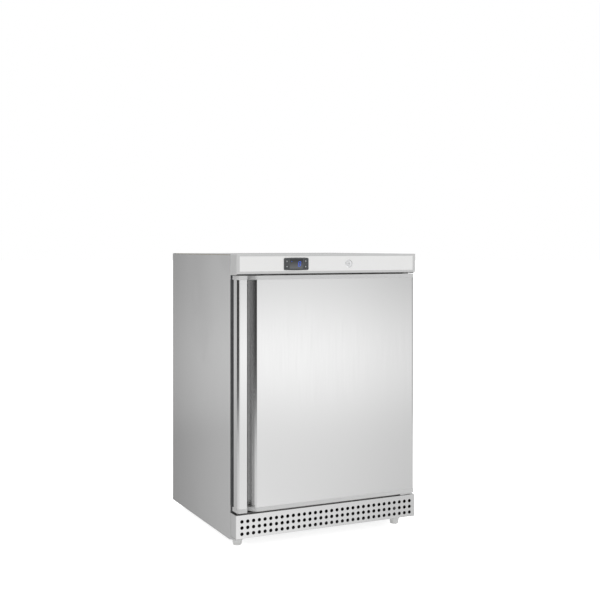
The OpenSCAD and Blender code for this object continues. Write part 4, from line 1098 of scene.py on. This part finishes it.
class FRIDGE_OT_machine_bay(bpy.types.Operator):
    """Finish the compressor, condenser, pipes and the rest of the cooling system"""
    bl_idname = "fridge.machine_bay"
    bl_label = "Cooling system"

    def execute(self, context):
        soften_all([("compressor", "black_enamel", 0.0015), ("terminal_box", "black_plastic", 0.002, 3),
                    ("evaporation_tray", "black_plastic", 0.0012), ("drain_tube", "white_plastic", 0.0006),
                    ("condenser_brackets", "black_enamel", 0.0004), ("filter_dryer", "copper", 0.0008),
                    ("cable_gland", "black_plastic", 0.0006), ("rear_spacers", "black_plastic", 0.001)])
        softened("refrigerant_pipes", "copper", 0, subdivide=1)
        softened("compressor_grommets", "black_rubber", 0.001)
        self.condenser(context.scene.fridge_details.condenser_wires)
        return {"FINISHED"}

    def condenser(self, count):
        """A flat serpentine of tube with upright wires welded across it."""
        low, high = span("condenser")
        r = 0.0025
        x = high[0] - r
        # The tube lies behind the wires; its lowest and highest runs are 15 mm inside the wires' ends
        z0, z1 = low[2] + 0.015, high[2] - 0.015
        y = high[1] - r
        runs = 11
        levels = np.linspace(z0, z1, runs)
        corners = [((-x if (i + k) % 2 == 0 else x), y, levels[i]) for i in range(runs) for k in (0, 1)]
        path = bent(corners, 0.0235, 10)
        parts = [tube(path, r, 12, up=(0, 1, 0))]
        wire = 0.0008
        wire_y = y - r - wire * 0.8
        for at in np.linspace(-0.215, 0.215, count):
            parts.append(rod((at, wire_y, low[2]), (at, wire_y, high[2]), wire, 6, up=(1, 0, 0)))
        build("condenser_coil", parts, "cabinet", "black_enamel", ["condenser"])


class FRIDGE_OT_feet(bpy.types.Operator):
    """Turn the fluted levelling feet, their threads and the rear rollers"""
    bl_idname = "fridge.feet"
    bl_label = "Feet and rollers"

    def execute(self, context):
        flutes = context.scene.fridge_details.foot_flutes
        for name in ("foot_left", "foot_right"):
            self.foot(name, flutes)
        for name in ("roller_left", "roller_right"):
            self.roller(name)
        softened("roller_axles", "zinc", 0.0005)
        return {"FINISHED"}

    def foot(self, name, flutes):
        """A knob whose radius dips between flutes, and a stud whose radius swings once per thread."""
        low, high = span(name)
        centre = ((low[0] + high[0]) / 2, (low[1] + high[1]) / 2, 0)

        def ripple(angle, height):
            """One less a flute: the fourth power of a cosine, fading in above the stem and out on top."""
            dip = 0.03 * np.maximum(0, np.cos(flutes * angle)) ** 4
            fade_in, fade_out = (height - 0.012) / 0.003, (0.0262 - height) / 0.001
            return 1 - dip * np.clip(fade_in, 0, 1) * np.clip(fade_out, 0, 1)
        knob = [(0, 0), (0.0108, 0), (0.0118, 0.0004), (0.0124, 0.0014), (0.0142, 0.0120), (0.0148, 0.0142),
                (0.0158, 0.0156), (0.016, 0.0166), (0.016, 0.0242), (0.0156, 0.0253), (0.0146, 0.0259),
                (0.006, 0.026), (0.0058, 0.0265), (0, 0.0265)]
        parts = [revolve(knob, centre, steps=flutes * 8, ripple=ripple)]
        base, top, pitch = 0.0255, high[2], 0.00125
        height = np.arange(base, top - 0.0006, pitch / 4)
        radius = 0.0047 + 0.0003 * np.cos(2 * np.pi * (height - base) / pitch)
        stud = np.concatenate([[(0, base)], np.column_stack([radius, height]),
                               [(0.0044, top - 0.0002), (0.0036, top), (0, top)]])
        parts.append(revolve(stud, centre, steps=28))
        build(name + "_knob", parts, name, "foot_plastic", [name], sharp=45)

    def roller(self, name):
        """A wheel with a grooved tread, rounded shoulders and an axle bore."""
        low, high = span(name)
        centre = (low[0], (low[1] + high[1]) / 2, (low[2] + high[2]) / 2)
        width, tread = high[0] - low[0], 0.015
        half = [(0.00305, 0.0), (0.0075, 0.0), (0.0085, 0.0009), (0.0118, 0.0009), (0.0128, 0.0),
                (0.0142, 0.0003), (0.0148, 0.001), (tread, 0.0022), (tread, width / 2 - 0.0022),
                (tread - 0.0008, width / 2 - 0.001)]
        mirrored = [(radius, width - height) for radius, height in half[::-1]]
        wheel = revolve(half + mirrored, centre, "x", closed=True)
        build(name + "_wheel", [wheel], name, "black_plastic", [name])


# ---- Stage ----

class FRIDGE_OT_studio(bpy.types.Operator):
    """Lay a pale floor and set the soft lights, the surroundings and the camera"""
    bl_idname = "fridge.studio"
    bl_label = "Studio"

    def execute(self, context):
        scene = context.scene
        studio = scene.fridge_studio
        scene.view_settings.view_transform = "Standard"
        self.floor(scene)
        self.surroundings(scene, studio)
        self.panel("overhead_light", (-0.2, -0.4, 3.0), (0, 0, 0.4), 2.6, 2.6, studio.overhead)
        self.panel("front_fill", (-0.6, -3.0, 2.9), (0, -0.2, 0.5), 2.4, 1.4, studio.front_fill)
        camera = bpy.data.objects.new("camera", bpy.data.cameras.new("camera"))
        scene.collection.objects.link(camera)
        camera.location = studio.eye
        camera.rotation_euler = (math.pi / 2, 0, studio.heading)
        camera.data.lens = studio.lens
        camera.data.shift_y = studio.shift
        camera.data.clip_end = 200
        scene.camera = camera
        return {"FINISHED"}

    def floor(self, scene):
        """A wide disc of rings whose radii grow outward."""
        radii = np.array([0.0, 0.6, 1.2, 3.0, 8.0, 60.0])
        count = 64
        angle = np.arange(count) * 2 * np.pi / count
        points = np.stack([radii[:, None] * np.cos(angle), radii[:, None] * np.sin(angle),
                           np.zeros((len(radii), count))], -1)
        mesh = bpy.data.meshes.new("studio_floor")
        i, j = np.meshgrid(np.arange(len(radii) - 1), np.arange(count), indexing="ij")
        right = (j + 1) % count
        quads = np.stack([i * count + j, (i + 1) * count + j, (i + 1) * count + right, i * count + right], -1)
        mesh.from_pydata(points.reshape(-1, 3).tolist(), [], quads.reshape(-1, 4).tolist())
        floor = bpy.data.objects.new("studio_floor", mesh)
        scene.collection.objects.link(floor)
        material, s, point = new_material("studio_floor")
        grain = group_node(s, "patches", vector=point, scale=0.6, coverage=0.5)
        # To the camera the floor is almost white with a faint shadow; to other rays it is greyer and dimmer
        camera_ray = s.add("LightPath").outputs["Is Camera Ray"]
        pale = s.blend(grain, (0.93, 0.93, 0.93, 1), (0.92, 0.92, 0.92, 1))
        shade = s.blend(camera_ray, (0.45, 0.45, 0.45, 1), pale)
        glow = s.math("ADD", s.math("MULTIPLY", camera_ray, 0.32), 0.55)
        shader = s.add("BsdfPrincipled", {"Base Color": shade, "Roughness": 0.9,
                                          "Emission Color": (1, 1, 1, 1), "Emission Strength": glow})
        s.add("OutputMaterial", {"Surface": shader.outputs[0]})
        mesh.materials.append(material)
        floor.visible_glossy = False

    def panel(self, name, place_at, aim, width, height, power):
        """A rectangular soft light aimed at a point."""
        light = bpy.data.lights.new(name, "AREA")
        light.shape = "RECTANGLE"
        light.size, light.size_y, light.energy = width, height, power
        lamp = bpy.data.objects.new(name, light)
        bpy.context.scene.collection.objects.link(lamp)
        way = np.array(aim) - np.array(place_at)
        lamp.location = place_at
        lamp.rotation_euler = (math.atan2(math.hypot(way[0], way[1]), -way[2]), 0,
                               math.atan2(way[1], way[0]) - math.pi / 2)
        lamp.visible_camera = False

    def surroundings(self, scene, studio):
        """White behind the object; the light around it changes with the heading and the height.

        A wall and a floor meet at a slope a little under the horizon. The wall is brighter in a level band:
        one plus an amount times e to minus half the square of the distance from its middle over its spread.
        """
        world = bpy.data.worlds.new("studio")
        scene.world = world
        world.use_nodes = True
        world.node_tree.nodes.clear()
        s = Shading(world.node_tree)
        way = s.add("SeparateXYZ", {0: s.add("TexCoord").outputs["Generated"]}).outputs
        heading = s.add("Math", {0: s.math("MULTIPLY", way[0], -1.0), 1: s.math("MULTIPLY", way[1], -1.0)},
                        operation="ARCTAN2").outputs[0]
        turn = s.math("ADD", s.math("DIVIDE", heading, 2 * math.pi), 0.5)
        walls = self.headings(s, turn, [
            (-180, 0.70), (-150, 0.60), (-110, 0.36), (-79, 0.12), (-52, 0.62), (-32, 0.74), (-28, 0.98),
            (-24.5, 1.02), (-21, 0.95), (25, 0.88), (44, 0.06), (140, 0.06), (152, 0.72), (159.5, 0.74),
            (160.8, 0.66), (162.2, 0.24), (180, 0.70)])
        ground = self.headings(s, turn, [
            (-180, 0.60), (-79, 1.05), (-52, 0.92), (-32, 0.90), (-28, 1.10), (-23, 1.17), (25, 1.10),
            (90, 1.05), (135, 0.85), (150, 0.72), (158.5, 0.74), (160, 0.60), (162.2, 0.24), (180, 0.60)])
        near = self.headings(s, turn, [
            (-180, 0.60), (-52, 0.70), (-32, 0.76), (-27.5, 1.08), (-22, 1.42), (25, 1.30), (90, 1.05),
            (158.5, 0.74), (162.2, 0.24), (180, 0.60)])
        strength = self.headings(s, turn, [
            (-180, 0.30), (-60, 1.00), (0, 1.00), (46, 0.00), (138, 0.00), (150, 0.30), (180, 0.30)])
        away = s.math("DIVIDE", s.math("ADD", way[2], studio.band_slope), studio.band_spread)
        bell = s.math("EXPONENT", s.math("MULTIPLY", s.math("MULTIPLY", away, away), -0.5))
        gain = s.math("ADD", s.math("MULTIPLY", s.math("MULTIPLY", bell, strength), studio.band), 1.0)
        walls = s.add("VectorMath", {0: walls, "Scale": gain}, operation="SCALE").outputs[0]
        ground = s.blend(s.ramp(way[2], -0.270, -0.252), near, ground)
        around = s.blend(s.ramp(way[2], -0.185, -0.155), ground, walls)
        around = s.blend(s.ramp(way[2], 0.25, 0.7), around, (0.95, 0.95, 0.95, 1))
        lit = s.add("Background", {"Color": around, "Strength": 1.0})
        seen = s.add("Background", {"Color": (1, 1, 1, 1), "Strength": 1.0})
        camera_ray = s.add("LightPath").outputs["Is Camera Ray"]
        mixed = s.add("MixShader", {0: camera_ray, 1: lit.outputs[0], 2: seen.outputs[0]})
        s.add("OutputWorld", {"Surface": mixed.outputs[0]})

    def headings(self, s, turn, stops):
        """A grey that changes smoothly between stops: a heading in degrees, left of front, and a value."""
        node = s.add("ValToRGB", {"Fac": turn})
        ramp = node.color_ramp
        ramp.interpolation = "EASE"
        while len(ramp.elements) > 1:
            ramp.elements.remove(ramp.elements[0])
        for k, (degrees, value) in enumerate(stops):
            at = degrees / 360 + 0.5
            element = ramp.elements[0] if k == 0 else ramp.elements.new(at)
            element.position = at
            element.color = (value, value, value, 1)
        return node.outputs["Color"]


class FRIDGE_PT_sidebar(bpy.types.Panel):
    """Builds the refrigerator's pieces one group at a time"""
    bl_idname = "FRIDGE_PT_sidebar"
    bl_label = "Undercounter refrigerator"
    bl_space_type = "VIEW_3D"
    bl_region_type = "UI"
    bl_category = "Refrigerator"

    def draw(self, context):
        for group in SETTINGS:
            box = self.layout.box()
            settings = getattr(context.scene, group)
            for key in settings.__annotations__:
                box.prop(settings, key)
        for step in STEPS:
            self.layout.operator(step.bl_idname)


SETTINGS = {"fridge_door": DoorShape, "fridge_grille": Grille, "fridge_details": Details,
            "fridge_colours": Colours, "fridge_studio": Studio}
STEPS = (FRIDGE_OT_cabinet, FRIDGE_OT_grille, FRIDGE_OT_control_frame, FRIDGE_OT_controller, FRIDGE_OT_lock,
         FRIDGE_OT_door_skin, FRIDGE_OT_door_trim, FRIDGE_OT_interior, FRIDGE_OT_machine_bay, FRIDGE_OT_feet,
         FRIDGE_OT_studio)
CLASSES = (*SETTINGS.values(), *STEPS, FRIDGE_PT_sidebar)


def register():
    for cls in CLASSES:
        bpy.utils.register_class(cls)
    for name, cls in SETTINGS.items():
        setattr(bpy.types.Scene, name, PointerProperty(type=cls))


def unregister():
    for name in SETTINGS:
        delattr(bpy.types.Scene, name)
    for cls in reversed(CLASSES):
        bpy.utils.unregister_class(cls)


def main():
    """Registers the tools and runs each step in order."""
    register()
    for step in STEPS:
        group, name = step.bl_idname.split(".")
        getattr(getattr(bpy.ops, group), name)()


if __name__ == "__main__":
    main()
